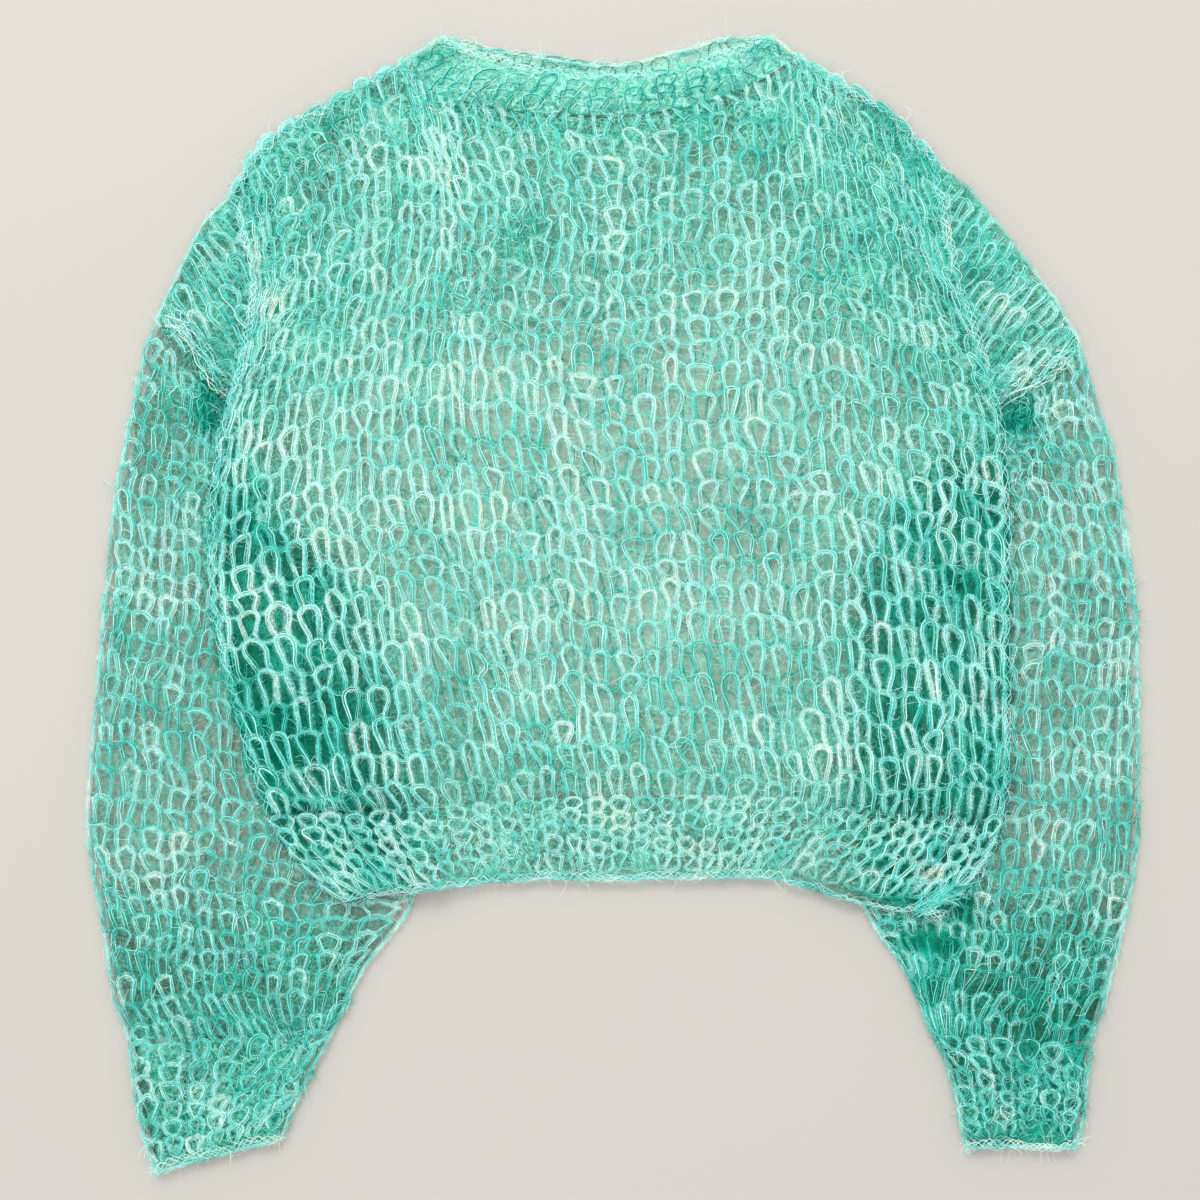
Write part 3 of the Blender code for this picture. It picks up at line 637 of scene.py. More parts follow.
yarnTool = strandTool("spinYarn", False, yarnLook)
hairTool = strandTool("brushHair", True, hairLook)
haloTool = strandTool("brushHalo", True, haloCover)


def addObject(name, data):
    thing = bpy.data.objects.new(name, data)
    bpy.context.collection.objects.link(thing)
    return thing


def strandPiece(name, lines, groups, tool):
    # lines are (points, dye with painted shade, thick) in millimetres, and a group holds many strands end to
    # end
    strands = [(*line, np.zeros(len(line[0])), [len(line[0])]) for line in lines] + groups
    points, dye, thick, roll, lengths = [np.concatenate(part) for part in zip(*strands)]
    joined = np.ones(len(points), bool)
    joined[np.cumsum(lengths) - 1] = False
    firsts = np.nonzero(joined)[0]
    mesh = bpy.data.meshes.new(name)
    mesh.vertices.add(len(points))
    mesh.vertices.foreach_set("co", (points * mm).astype(np.float32).ravel())
    mesh.edges.add(len(firsts))
    mesh.edges.foreach_set("vertices", np.stack([firsts, firsts + 1], 1).astype(np.int32).ravel())
    for key, values in (("thick", thick * mm), ("dye", dye), ("roll", roll)):
        mesh.attributes.new(key, "FLOAT", "POINT").data.foreach_set("value", values.astype(np.float32))
    mesh.update()
    piece = addObject(name, mesh)
    piece.modifiers.new("strands", "NODES").node_group = tool
    graph = bpy.context.evaluated_depsgraph_get()
    made = bpy.data.meshes.new_from_object(piece.evaluated_get(graph))
    piece.modifiers.clear()
    piece.data = made
    bpy.data.meshes.remove(mesh)
    made.name = name
    return piece


# shape of a stitch: how far its sides bow, how far head and foot reach in rows, depth, head over foot
plainStitch = {"waist": 1.08, "head": 0.64, "foot": 0.56, "depth": 0.7, "over": 0.3}
bandStitch = {"waist": 1.34, "head": 0.76, "foot": 0.54, "depth": 0.8, "over": 0.5}
hemStitch = {"waist": 1.42, "head": 0.70, "foot": 0.46, "depth": 0.8, "over": 0.5}
cuffStitch = {"waist": 1.46, "head": 0.66, "foot": 0.42, "depth": 0.8, "over": 0.5}
# how far stitches stray, in stitches and rows: each by itself, in patches, and whole columns along themselves
unevenLook = {"acrossOwn": 0.18, "acrossPatch": 0.24, "upOwn": 0.20, "upPatch": 0.26, "slip": 0.36,
              "patchColumns": 4, "acrossRows": 5.0, "upRows": 4.0, "slipRows": 3.0, "ownRows": 1.1,
              "still": (0.8, 0.3)}                    # rows and stitches at an edge that hardly move
loopLook = {"often": 1.2, "open": 0.28, "lean": 0.10, "footFrom": -0.2}      # how loops differ


def stitchHeight(stitch, phase):
    share = 0.5 + 0.5 * np.cos(phase)
    return (stitch["foot"] + (stitch["head"] - stitch["foot"]) * share) * np.cos(phase)


phaseSteps, straightShare = 1441, 1.1                 # how points are shared out over turns and straights


def stitchPhases(stitch, count):
    # phases of one stitch, closer together where the loop turns, from foot to foot
    phase = np.linspace(-np.pi, np.pi, phaseSteps)
    x = (phase + stitch["waist"] * np.sin(2 * phase)) / (2 * np.pi)
    dx, dy = np.gradient(x), np.gradient(stitchHeight(stitch, phase))
    turn = np.abs(np.gradient(np.unwrap(np.arctan2(dy, dx))))
    effort = np.cumsum(turn + straightShare * np.hypot(dx, dy))
    effort -= effort[0]
    return np.interp(np.arange(count) / count * effort[-1], effort, phase)


def pull(guide, seed, amount, s, v):
    # uneven stitches: one field moves every loop and its neighbours together
    look, stitches, rows = unevenLook, guide["stitches"], guide["rows"]
    coarse = max(round(stitches / look["patchColumns"]), 1)
    wide = s * coarse / stitches
    turn, turnWide = (stitches, coarse) if guide["around"] else (None, None)
    up, (stillRows, stillStitches) = look["ownRows"] * v, look["still"]
    moveS = (look["acrossOwn"] * noise(seed, s, up, turn)
             + look["acrossPatch"] * noise(seed + 1, wide, v / look["acrossRows"], turnWide))
    moveV = (look["upOwn"] * noise(seed + 2, s, up, turn)
             + look["upPatch"] * noise(seed + 3, wide, v / look["upRows"], turnWide))
    moveV = moveV + look["slip"] * noise(seed + 4, s + 0.5, v / look["slipRows"], turn)
    edge = smoothStep(np.minimum(v + stillRows, rows - v + stillRows) / (2 * stillRows))
    if not guide["around"]:
        side = np.minimum(s + stillStitches, stitches - s + stillStitches)
        edge = edge * smoothStep(side / (1 + stillStitches))
    return s + amount * edge * moveS, v + amount * edge * moveV


def yarnPath(guide, stitch, samples, reach, seed):
    # the middle of the yarn through every stitch: stitch, row, height off the wall, count along, and nearness
    # to a foot
    stitches, rows = guide["stitches"], guide["rows"]
    total = stitches * rows if guide["around"] else stitches
    phase = (stitchPhases(stitch, samples)[None, :] + 2 * np.pi * np.arange(total)[:, None]).ravel()
    count = (phase + np.pi) / (2 * np.pi)
    lift = -stitch["depth"] * np.cos(2 * phase) + stitch["over"] * np.cos(phase)
    begin, finish = reach                             # the net runs on a little past a seam
    stretch = (finish - begin) / rows
    height = stitchHeight(stitch, phase)
    foot = smoothStep(loopLook["footFrom"] - np.cos(phase))

    def across(number):
        # some loops close to a ring, others stay open
        bow = stitch["waist"] * (1.0 + loopLook["open"] * noise(seed + 40, number * loopLook["often"], 0.7))
        lean = loopLook["lean"] * noise(seed + 41, number * loopLook["often"], 0.2) * np.cos(phase)
        return (phase + bow * np.sin(2 * phase)) / (2 * np.pi) + 0.5 + lean

    if guide["around"]:
        v = 0.5 + (count / stitches) * (rows - 1) / rows + height
        return across(count), begin + v * stretch, lift, count, foot
    parts = []
    for row in range(rows):
        v = begin + (row + 0.5 + height) * stretch
        back = slice(None) if row % 2 == 0 else slice(None, None, -1)
        s = across(row * (stitches + 3) + count)
        parts.append((s[back], v[back], lift[back], row * stitches + count, foot[back]))
    return [np.concatenate(part) for part in zip(*parts)]


def sides(points, out):
    # the way along a strand, and the way across it on the net
    along = unit(np.gradient(points, axis=0))
    return along, unit(np.cross(out, along))


def evenly(step, length, path):
    # places at even steps along a path, and the path's points there
    even = np.linspace(0, length[-1], max(int(length[-1] / step), 4))
    return even, np.stack([np.interp(even, length, path[:, axis]) for axis in range(3)], 1)


def waves(seed, along, table, value=0.0):
    # adds waves along a strand: step of the seed, how much, how often, lane of the noise
    for step, much, often, lane in table:
        value = value + much * noise(seed + step, along * often, lane)
    return value


# dye along the yarn: 0 is dark and 1 is nearly white
dyeLook = {"base": 0.60, "waves": [(20, 0.26, 0.8, 0.0), (21, 0.32, 2.6, 0.5)],
           "patches": [(45.0, 0.12), (17.0, 0.12)]}


def dyeAt(seed, count, place):
    # short patches along the yarn and a slow drift over the garment
    value = waves(seed, count, dyeLook["waves"], dyeLook["base"])
    for size, much in dyeLook["patches"]:
        value = value + much * noise(4000 + round(size), place[:, 0] / size + 30, place[:, 1] / size + 30)
    return value


strandLook = {
    "core": 0.23, "coreDye": -0.20, "halo": 2.5, "haloDye": 0.12, "plies": 5, "ply": 0.125, "spread": 1.45,
    "shades": (0.02, 0.34, -0.18, 0.28, -0.04),                   # of the plies
    "covered": 0.62, "foot": 0.30, "slimmer": 0.3,                # painted shade below other layers and at a foot, where the yarn passes behind; slimmer there
    "coreSway": [(10, 0.5, 0.9, 0.3)], "coreThick": [(12, 0.3, 2.1, 0.9)],
    "lane": 0.7, "laneSway": [(0, 0.5, 1.1, 0.4)], "plySway": [(1, 0.55, 2.9, 0.4), (3, 0.5, 5.3, 0.4)],
    "plyRise": [(2, 0.6, 2.0, 0.4)], "plyThick": [(4, 0.75, 2.6, 0.4)], "haloThick": [(14, 0.35, 1.7, 0.2)],
}


def spin(run, seed, look):
    # one soft core and loose plies that wander beside it, so that the yarn shows as a few fine lines
    points, out, count = run["points"], run["out"], run["count"]
    # painted shade: darker under other layers, at each foot, and by the net's own shade
    darker = look["covered"] * run["deep"] + look["foot"] * run["foot"] + run["shade"]
    slim = (1.0 - look["slimmer"] * run["foot"]) * run["bold"]
    across = sides(points, out)[1]
    dye = dyeAt(seed, count, points)
    sway = look["spread"] * waves(seed, count, look["coreSway"])
    strands = [(points + across * sway[:, None], dye + look["coreDye"] - darker,
                look["core"] * slim * waves(seed, count, look["coreThick"], 1.0))]
    plies = look["plies"]
    for number in range(plies):
        own = seed + 50 + 5 * number
        lane = (2 * number - plies + 1) / max(plies - 1, 1)
        lane = lane * waves(own, count, look["laneSway"], look["lane"])
        sway = look["spread"] * waves(own, count, look["plySway"], lane)
        strands.append((points + across * sway[:, None] + out * waves(own, count, look["plyRise"])[:, None],
                        dyeAt(own + 3, count, points) + look["shades"][number % len(look["shades"])] - darker,
                        look["ply"] * slim * waves(own, count, look["plyThick"], 1.0)))
    halo = (points[::2], dye[::2] + (look["haloDye"] - darker)[::2],
            look["halo"] * (slim * waves(seed, count, look["haloThick"], 1.0))[::2])
    for strand in strands + [halo]:
        strand[0][:, 2] = np.maximum(strand[0][:, 2], lowest)
    return strands, halo


ridge = {"step": 1.5, "pitch": 15.0, "wide": 2.1, "rise": 0.8, "shift": 0.0, "stray": 1.3, "strands": 3,
         "thick": 0.26, "dye": -0.02}
sideSeam = {**ridge, "pitch": 23.0, "thick": 0.24, "dye": -0.05}
castOff = {"step": 1.3, "pitch": 15.0, "wide": 2.1, "rise": 0.5, "shift": 0.6, "stray": 2.4, "strands": 4,
           "thick": 0.24, "dye": 0.10}
# how uneven a braid is, and over how many millimetres
braidLook = {"turn": (1.2, 17.0), "wide": (0.5, 11.0), "thick": (0.25, 6.0), "stray": 13.0, "heave": 0.7}


def braid(points, out, seed, look):
    # a seam or a cast-off edge: strands that pass over each other along it
    length = lengthAlong(points)
    even, points = evenly(look["step"], length, points)
    out = evenly(look["step"], length, out)[1]
    along, across = sides(points, out)
    stray = look["shift"] + look["stray"] * noise(seed, even / braidLook["stray"], 9.5)

    def uneven(key, own, lane):
        much, size = braidLook[key]
        return much * noise(own, even / size, lane)

    strands = []
    for number in range(look["strands"]):
        turn = 2 * np.pi * (even / look["pitch"] + number / look["strands"])
        turn = turn + uneven("turn", seed + number, 0.5)
        wide = look["wide"] * (1.0 + uneven("wide", seed + 5, number + 0.5))
        rise = look["rise"] * (1.0 + braidLook["heave"] * np.cos(2 * turn))
        strand = points + (across * (wide * np.sin(turn) + stray)[:, None] + out * rise[:, None])
        strand[:, 2] = np.maximum(strand[:, 2], lowest)
        strands.append((strand, dyeAt(seed + 7 * number, even / braidLook["stray"], strand) + look["dye"],
                        look["thick"] * (1.0 + uneven("thick", seed + 9, number + 0.3)), out, along))
    return strands


foldBunch = {"points": 60, "ends": 12, "wide": 6.5, "shift": 5.0, "rise": 3.0, "wander": 3.4, "strands": 14,
             "thick": 0.34, "dye": 0.02, "mixed": 0.26, "sway": [(0, 1.0, 4.5, 0.5), (0, 0.8, 11.0, 7.5)],
             "heave": [(0, 0.8, 6.0, 3.5)], "bulges": [(0, 0.3, 8.0, 5.5)]}


def bunch(corners, tree, seed, look):
    # long strands that lie side by side along a fold
    count, corners = look["points"], np.array(corners)
    steps = np.linspace(0, len(corners) - 1, count)
    path = np.stack([np.interp(steps, np.arange(len(corners)), corners[:, axis]) for axis in (0, 1)], 1)
    points, out = onWall(tree, path, look["rise"]), upward(count)
    along, across = sides(points, out)
    rng = np.random.default_rng(seed)
    share = np.linspace(0, 1, count)
    strands = []
    for number in range(look["strands"]):
        lane = look["wide"] * ((number + 0.5) / look["strands"] * 2 - 1)
        own = seed + number
        move = look["shift"] + lane + look["wander"] * waves(own, share, look["sway"])
        strand = points + across * move[:, None] + out * waves(own, share, look["heave"])[:, None]
        first, last = rng.integers(0, look["ends"]), count - rng.integers(0, look["ends"])
        dye = dyeAt(seed + 7 * number, share * 6, strand) + look["dye"] + rng.normal(0.0, look["mixed"])
        thick = look["thick"] * rng.uniform(0.6, 1.2) * waves(own, share, look["bulges"], 1.0)
        strands.append(tuple(part[first:last] for part in (strand, dye, thick, out, along)))
    return strands


endTuft = {"ends": 90, "length": 20.0, "turn": 0.12, "bend": 0.6, "wide": 1.9, "rise": 7.5, "dye": 0.40,
           "thick": 0.56, "run": 22.0}
neckTuft = {"ends": 16, "length": 9.0, "turn": 0.9, "bend": 2.4, "wide": 2.6, "rise": 2.0, "dye": 0.26,
            "thick": 0.26, "run": 0.0}


def tuft(node, spot, way, look, seed):
    # loose ends of yarn that lie on a corner
    rng = np.random.default_rng(seed)
    spot = np.array(spot)
    height = float(wallMiddle(trees[node], spot, True)) + look["rise"]
    strands = []
    count, taper = 9, (1.1, 0.6)                      # points of an end, and its thickness along it
    share = np.linspace(0, 1, count)
    facing = upward(count)
    for _ in range(look["ends"]):
        heading = math.atan2(way[1], way[0]) + rng.normal(0.0, look["turn"])
        turns = heading + rng.normal(0.0, look["bend"]) * share
        step = look["length"] * rng.uniform(0.6, 1.2) / (count - 1)
        start = np.append(spot + middle + np.array(way) * look["run"] * rng.random(), height)
        start = start + rng.normal(0.0, look["wide"], 3) * [1, 1, 0.3]
        rise = rng.normal(0.0, 0.15, count)
        chain = start + np.cumsum(np.stack([np.cos(turns), np.sin(turns), rise], 1) * step, 0)
        dye = np.full(count, look["dye"] + rng.normal(0.0, 0.15))
        strands.append((chain, dye, look["thick"] * (taper[0] - taper[1] * share), facing,
                        sides(chain, facing)[0]))
    return strands


shortHair = {"thick": 0.12, "shortest": 3.0, "longest": 8.0, "few": 1.3, "slant": 0.5, "bend": 1.5,
             "steps": 2, "lighter": 0.24}
longHair = {"thick": 0.115, "shortest": 4.0, "longest": 13.0, "few": 1.5, "slant": 1.6, "bend": 2.0,
            "steps": 3, "lighter": 0.32}
brushLook = {"odds": (0.2, 2.2), "rise": (0.05, 0.22), "droop": 1.2, "lowest": 0.25, "tip": 0.45,
             "thick": (0.7, 1.3), "dye": 0.7, "mixed": 0.2}


def brush(roots, look, count, seed):
    # mohair fibres that stand off the yarn, most of them slanting along it, and more where the net turns over
    points, facings, alongs, dyesHere = roots
    rng = np.random.default_rng(seed)
    least, more = brushLook["odds"]
    odds = np.cumsum(least + more * (1 - np.abs(facings[:, 2])) ** 2)
    pick = np.searchsorted(odds, rng.random(count) * odds[-1])
    place, facing, color, along = points[pick], facings[pick], dyesHere[pick], alongs[pick]
    across = np.cross(facing, along)
    angle = rng.normal(0.0, look["slant"], count) + np.pi * rng.integers(0, 2, count)
    rise = rng.normal(*brushLook["rise"], count)
    length = look["shortest"] + (look["longest"] - look["shortest"]) * rng.random(count) ** look["few"]
    bend = rng.normal(0, look["bend"], count)
    steps = look["steps"]
    chain = [place]
    for step in range(steps):
        turn = angle + bend * (step + 0.5) / steps
        way = (along * np.cos(turn)[:, None] + across * np.sin(turn)[:, None]
               + facing * (rise * (1 - brushLook["droop"] * step / steps))[:, None])
        place = place + way * (length / steps)[:, None]
        place[:, 2] = np.maximum(place[:, 2], brushLook["lowest"])
        chain.append(place)
    taper = np.linspace(1.0, brushLook["tip"], steps + 1)[None, :] * look["thick"]
    thick = taper * rng.uniform(*brushLook["thick"], count)[:, None]
    dye = color * brushLook["dye"] + rng.normal(look["lighter"], brushLook["mixed"], count)
    dye = np.repeat(dye, steps + 1)
    roll = np.repeat(rng.uniform(-1.0, 1.0, count), steps + 1)
    return np.stack(chain, 1).reshape(-1, 3), dye, thick.ravel(), roll, np.full(count, steps + 1)


edgeLook = {"step": 1.0, "ribbons": 1, "away": 0.4, "wide": 1.7, "dye": -0.22, "reach": 5.0}


def runsOf(keep):
    # first and last place of each unbroken run of points that are kept
    edge = np.diff(np.concatenate([[0], keep.astype(int), [0]]))
    firsts, lasts = np.nonzero(edge == 1)[0], np.nonzero(edge == -1)[0]
    return [(first, last) for first, last in zip(firsts, lasts) if last - first > 1]


def fringe(path, seed, look):
    # fibres that stand off a free edge: the path, the way out of the net, and soft ribbons along it
    even, points = evenly(look["step"], lengthAlong(path[:, :2]), path)
    along, side = sides(points, upward(len(points)))
    side[:, 2] = 0.0
    covered = []
    for way in (1.0, -1.0):
        beside = points + way * look["reach"] * side
        beside[:, 2] = -1.0
        covered.append(hidden(beside, trees))
    side = side * (covered[1] - covered[0])[:, None]  # towards the side with nothing on it
    parts = []
    for first, last in runsOf(covered[0] != covered[1]):
        spot, way, run = points[first:last], side[first:last], even[first:last]
        ribbons = []
        for number in range(look["ribbons"]):
            away = look["away"] * (number + 0.5 + 0.6 * noise(seed + number, run / 9.0, 0.5))
            ribbons.append((spot + way * away[:, None], dyeAt(seed + number, run / 16.0, spot) + look["dye"],
                            look["wide"] * (1.0 + 0.4 * noise(seed + number, run / 7.0, 4.5))))
        parts.append((spot, way, along[first:last], ribbons))
    return parts


def tubeShare(guide, s):
    # 0 at the first end of a flattened tube, 1 at the other
    return 1 - np.abs(1 - 2 * (s / guide["stitches"] % 1.0))


# how crowded a net is: in all, towards its lower end, upper end and sides, and over what share of the rows;
# then what darkens its yarn everywhere, the painted shade on its yarn where it is crowded, and in its film
plainCrowd = {"all": 1.0, "low": 0.0, "lowRows": 0.3, "high": 0.0, "highRows": 0.3, "side": 0.0,
              "shade": 0.0, "dim": 0.0, "cells": 0.0}


def crowdAt(net, s, v):
    # how much closer the fibres lie than in the middle of the body
    guide, crowd = net["guide"], net["crowd"]
    rows = guide["rows"]
    value = crowd["all"] + crowd["low"] * smoothStep(1 - v / (crowd["lowRows"] * rows))
    high = crowd["high"] * smoothStep(1 - (rows - v) / (crowd["highRows"] * rows))
    if guide["around"]:
        return value + high * tubeShare(guide, s) ** 2
    return value + high + crowd["side"] * np.clip(np.abs(2 * s / guide["stitches"] - 1), 0, 1) ** 3


innerFrom = 0.62                                      # share of a tube at which its inner end begins
# painted shade in hollows, and dark patches of the dye: how far a patch fades, the least height it shows at,
# and how much it thickens the film and darkens the yarn
shadeAndDyePatchLook = {"fade": 1.6, "lowest": 4.0, "film": 5.0, "yarn": 0.45}
# over the sleeves: how far to each side a sleeve is looked for, painted shade on the film, how much thicker
# the film gets, painted shade on the yarn, and how thick the yarn is
packedLook = {"steps": (-15.0, 0.0, 15.0), "deep": 0.9, "dense": 1.6, "shade": 0.05, "least": 0.84,
              "bolder": 0.32}


def innerShare(guide, s):
    # 1 at the end of a tube that lies towards the middle of the body, or under it
    return smoothStep((tubeShare(guide, s) - innerFrom) / (1 - innerFrom))


def shadeAndDyePatchAt(net, place):
    # 1 in the painted shade of dark hollows, such as the inner end of a sleeve's fold, and less in the
    # painted shade below the neckband and in dark patches of the dye
    value = np.zeros(len(place))
    for spot, size, much in net["gaps"]:
        away = np.linalg.norm((place[:, :2] - middle - spot) / size, axis=1)
        value = np.maximum(value, much * smoothStep(shadeAndDyePatchLook["fade"] - away))
    return value * (place[:, 2] > shadeAndDyePatchLook["lowest"])


def overPacked(net, place):
    # 1 over the sleeves, fading towards the middle of the body
    steps = packedLook["steps"]
    return sum(hidden(place + [move, 0.0, 0.0], net["onto"], -1.0) for move in steps) / len(steps)


# how the film's layers follow the size of the stitches, thin out where the net turns over, and are drawn in
# at a cut edge; how far it lies below the yarn, and what hides it or deepens its painted shade
filmShape = {"power": 0.8, "thinnest": 0.7, "thickest": 2.2, "turned": 0.25, "cut": 8.0, "below": 1.0,
             "lowest": 0.25, "coveredFrom": 0.4, "inner": 0.85, "crowded": 0.2, "deepest": 1.2,
             "palest": -1.0}


def filmLayers(net, place, out, s, v, area):
    # layers of the film at each point, and how deep they lie, which sets the film's painted shade
    guide, crowd, shape = net["guide"], net["crowd"], filmShape
    dense = (net["stitchArea"] / np.maximum(area, 1.0)) ** shape["power"]
    dense = np.clip(dense, shape["thinnest"], shape["thickest"])
    deep = net["deepOf"](place, out)
    if guide["around"]:
        # packed where it lies under the body, but thin at its inner end
        covered = np.clip(deep - shape["coveredFrom"], 0, 1) / (1 - shape["coveredFrom"])
        share = innerShare(guide, s)
        dense = dense * (1 + covered * (napLook["packed"] * (1 - share) - shape["inner"] * share))
    crowded = crowdAt(net, s, v)
    dense = dense * crowded * (shape["turned"] + (1 - shape["turned"]) * np.abs(out[:, 2]))
    if "tone" in crowd:
        low, high = crowd["tone"]
        deep = deep + low + (high - low) * v / guide["rows"]
    else:
        # painted shade where the film is crowded and in the sleeves' cells
        deep = deep + shape["crowded"] * (crowded - 1) + crowd["cells"]
    if "gaps" in net:
        # painted shade in hollows and below the neckband, and dark patches of the dye
        gap = shadeAndDyePatchAt(net, place)
        deep, dense = deep + gap, dense * (1 + shadeAndDyePatchLook["film"] * gap)
    if "onto" in net:
        # painted shade over the sleeves
        packed = overPacked(net, place)
        deep, dense = deep + packedLook["deep"] * packed, dense * (1 + packedLook["dense"] * packed)
    return dense, np.clip(deep, shape["palest"], shape["deepest"])


def napFilm(work, net, seed, amount):
    # adds the film of brushed fibres on the middle of a wall to a mesh
    guide = net["guide"]
    stitches, rows = guide["stitches"], guide["rows"]
    grid = bmesh.new()
    bmesh.ops.create_grid(grid, x_segments=stitches * 2, y_segments=rows * 2, size=0.5)
    flat = np.array([vertex.co[:2] for vertex in grid.verts]) + 0.5
    s, v = flat[:, 0] * stitches, flat[:, 1] * rows
    if guide["around"]:
        s = np.where(flat[:, 0] > 0.999, 0.0, s)
    movedS, movedV = pull(guide, seed, amount, s, v)
    place, out = onGuide(guide, movedS, movedV)
    beside, above = onGuide(guide, movedS + 0.5, movedV)[0], onGuide(guide, movedS, movedV + 0.5)[0]
    area = np.linalg.norm(np.cross(beside - place, above - place), axis=1) * 4
    dense, deep = filmLayers(net, place, out, s, v, area)
    keep = np.ones(len(place), bool)
    if "clip" in net:
        keep = within(place[:, :2] - middle, net["clip"])
        edge, away = nearOutline(place[:, :2] - middle, net["clip"])
        place[:, :2] = np.where(keep[:, None], place[:, :2], edge + middle)
        keep = keep | (away < filmShape["cut"])
    place[:, 2] = np.maximum(place[:, 2] - filmShape["below"], filmShape["lowest"])
    denseLayer, deepLayer = work.verts.layers.float["dense"], work.verts.layers.float["deep"]
    made = {}
    for vertex, spot, thick, low, inside in zip(grid.verts, place * mm, dense, deep, keep):
        if inside:
            copy = work.verts.new(spot)
            copy[denseLayer], copy[deepLayer] = thick, low
            made[vertex.index] = copy
    for face in grid.faces:
        corners = [made.get(vertex.index) for vertex in face.verts]
        if all(corners):
            work.faces.new(corners).smooth = True
    grid.free()


# how far a tube's plies and halo reach round its edge, how deep a halo still shows, how far yarn at an edge
# wanders off the wall, and how much less painted shade an inner end gets
showLook = {"plies": -0.25, "halo": -0.3, "deep": 0.5, "wander": 2.6, "inner": 0.5}


def yarnRun(net, seed, amount):
    # the course of the yarn through one net, and what makes it darker or thicker: painted shade under other
    # pieces, where crowded, in hollows and over the sleeves, and the net's own shade
    guide, crowd = net["guide"], net["crowd"]
    s, v, lift, count, foot = yarnPath(guide, net["stitch"], net["samples"], net["reach"], seed)
    place, out = onGuide(guide, *pull(guide, seed, amount, s, v))
    lift = lift + showLook["wander"] * amount * (1 - np.abs(out[:, 2])) * noise(seed + 6, s, v * 1.2)
    deep = net["deepOf"](place, out)
    if guide["around"]:
        deep = deep * (1 - showLook["inner"] * innerShare(guide, s))
    shade = crowd["shade"] + crowd["dim"] * (crowdAt(net, s, v) - crowd["all"])
    if "gaps" in net:
        # painted shade in hollows and below the neckband, and dark patches of the dye
        shade = shade + shadeAndDyePatchLook["yarn"] * shadeAndDyePatchAt(net, place)
    bold = np.ones(len(place))
    if "onto" in net:                                 # the thickest yarn shows over the sleeves, under painted shade
        packed = overPacked(net, place)
        shade = shade + packedLook["shade"] * packed
        bold = packedLook["least"] + packedLook["bolder"] * packed
    return {"points": place + out * lift[:, None], "out": out, "count": count,
            "deep": deep, "foot": foot, "shade": shade, "bold": bold}


def knitNet(parts, piece, net, seed):
    # adds the yarn of one net where it shows, and the roots of its fibres
    run = yarnRun(net, seed, piece["uneven"])
    points, out = run["points"], run["out"]
    strands, halo = spin(run, seed, {**strandLook, **piece["yarn"]})
    inside = within(points[:, :2] - middle, net["clip"]) if "clip" in net else np.ones(len(points), bool)
    outside = inside & (out[:, 2] > showLook["plies"]) if net["guide"]["around"] else inside
    seen = inside & (out[:, 2] > showLook["halo"]) & (run["deep"] < showLook["deep"])
    parts["halo"] += [tuple(part[first:last] for part in halo) for first, last in runsOf(seen[::2])]
    along = sides(points, out)[0]
    for number, (line, dye, thick) in enumerate(strands):
        core = number == 0
        kind = "yarn" if core and not piece.get("coreFlat") else "plies"
        for first, last in runsOf(inside if core else outside):
            parts[kind].append((line[first:last], dye[first:last], thick[first:last]))
            parts["roots"].append((line[first:last], out[first:last], along[first:last],
                                   dye[first:last] + piece.get("hairDye", 0.0)))


def knitFilm(name, piece):
    # one thin layer of brushed fibres through all the nets of a piece
    work = bmesh.new()
    work.verts.layers.float.new("dense")
    work.verts.layers.float.new("deep")
    for number, net in enumerate(piece["nets"]):
        napFilm(work, net, piece["seed"] + number, piece["uneven"])
    bmesh.ops.remove_doubles(work, verts=work.verts, dist=1e-6)
    mesh = bpy.data.meshes.new(name + "_nap")
    work.to_mesh(mesh)
    work.free()
    mesh.materials.append(filmLook)
    return addObject(name + "_nap", mesh)


tally = {}                                            # triangles of each object


def knitPiece(name, piece):
    # yarn, fibres and film of one knitted piece
    seed, hairDye = piece["seed"], piece.get("hairDye", 0.0)
    parts = {"yarn": [], "plies": [], "halo": [], "roots": []}
    for number, net in enumerate(piece["nets"]):
        knitNet(parts, piece, net, seed + number)
    edge = {**edgeLook, "dye": edgeLook["dye"] + hairDye}
    for number, path in enumerate(piece.get("free", [])):
        for spot, way, along, ribbons in fringe(path, seed + 60 + 5 * number, edge):
            parts["halo"] += ribbons
            parts["roots"].append((spot, way, along, ribbons[0][1]))
    for line, dye, thick, out, along in piece.get("edges", []):
        parts["yarn"].append((line, dye, thick))
        parts["roots"].append((line, out, along, dye))
    roots = [np.concatenate(part) for part in zip(*parts["roots"])]
    hairs = [brush(roots, look, number, seed + 7 + look["steps"])
             for look, number in zip((shortHair, longHair), piece["hairs"])]

    apart = piece.get("pliesApart")
    made = [strandPiece(name + "_yarn", parts["yarn"], [], yarnTool)] if parts["yarn"] else []
    if apart:
        made.append(strandPiece(name + "_plies", parts["plies"], [], hairTool))
    made.append(strandPiece(name + "_hairs", [] if apart else parts["plies"], hairs, hairTool))
    if parts["halo"]:
        made.append(strandPiece(name + "_halo", parts["halo"], [], haloTool))
    nap = knitFilm(name, piece)
    for part in made + [nap]:
        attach(part, "root")
        part.data.calc_loop_triangles()
        tally[part.name] = len(part.data.loop_triangles)
    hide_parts(name)
    print(name, "knitted")


seamLook = {"points": 120, "lift": 0.4}               # points between two corners of a seam, and its height


def alongEdge(guide, corners):
    # points between places given in stitches and rows, for a seam
    last = len(corners) - 1
    share = np.linspace(0, last, seamLook["points"] * last)
    place, out = onGuide(guide, *[np.interp(share, np.arange(last + 1), part) for part in zip(*corners)])
    return place + out * seamLook["lift"], out


def freeEdges(guide, *lines):
    return [alongEdge(guide, corners)[0] for corners in lines]


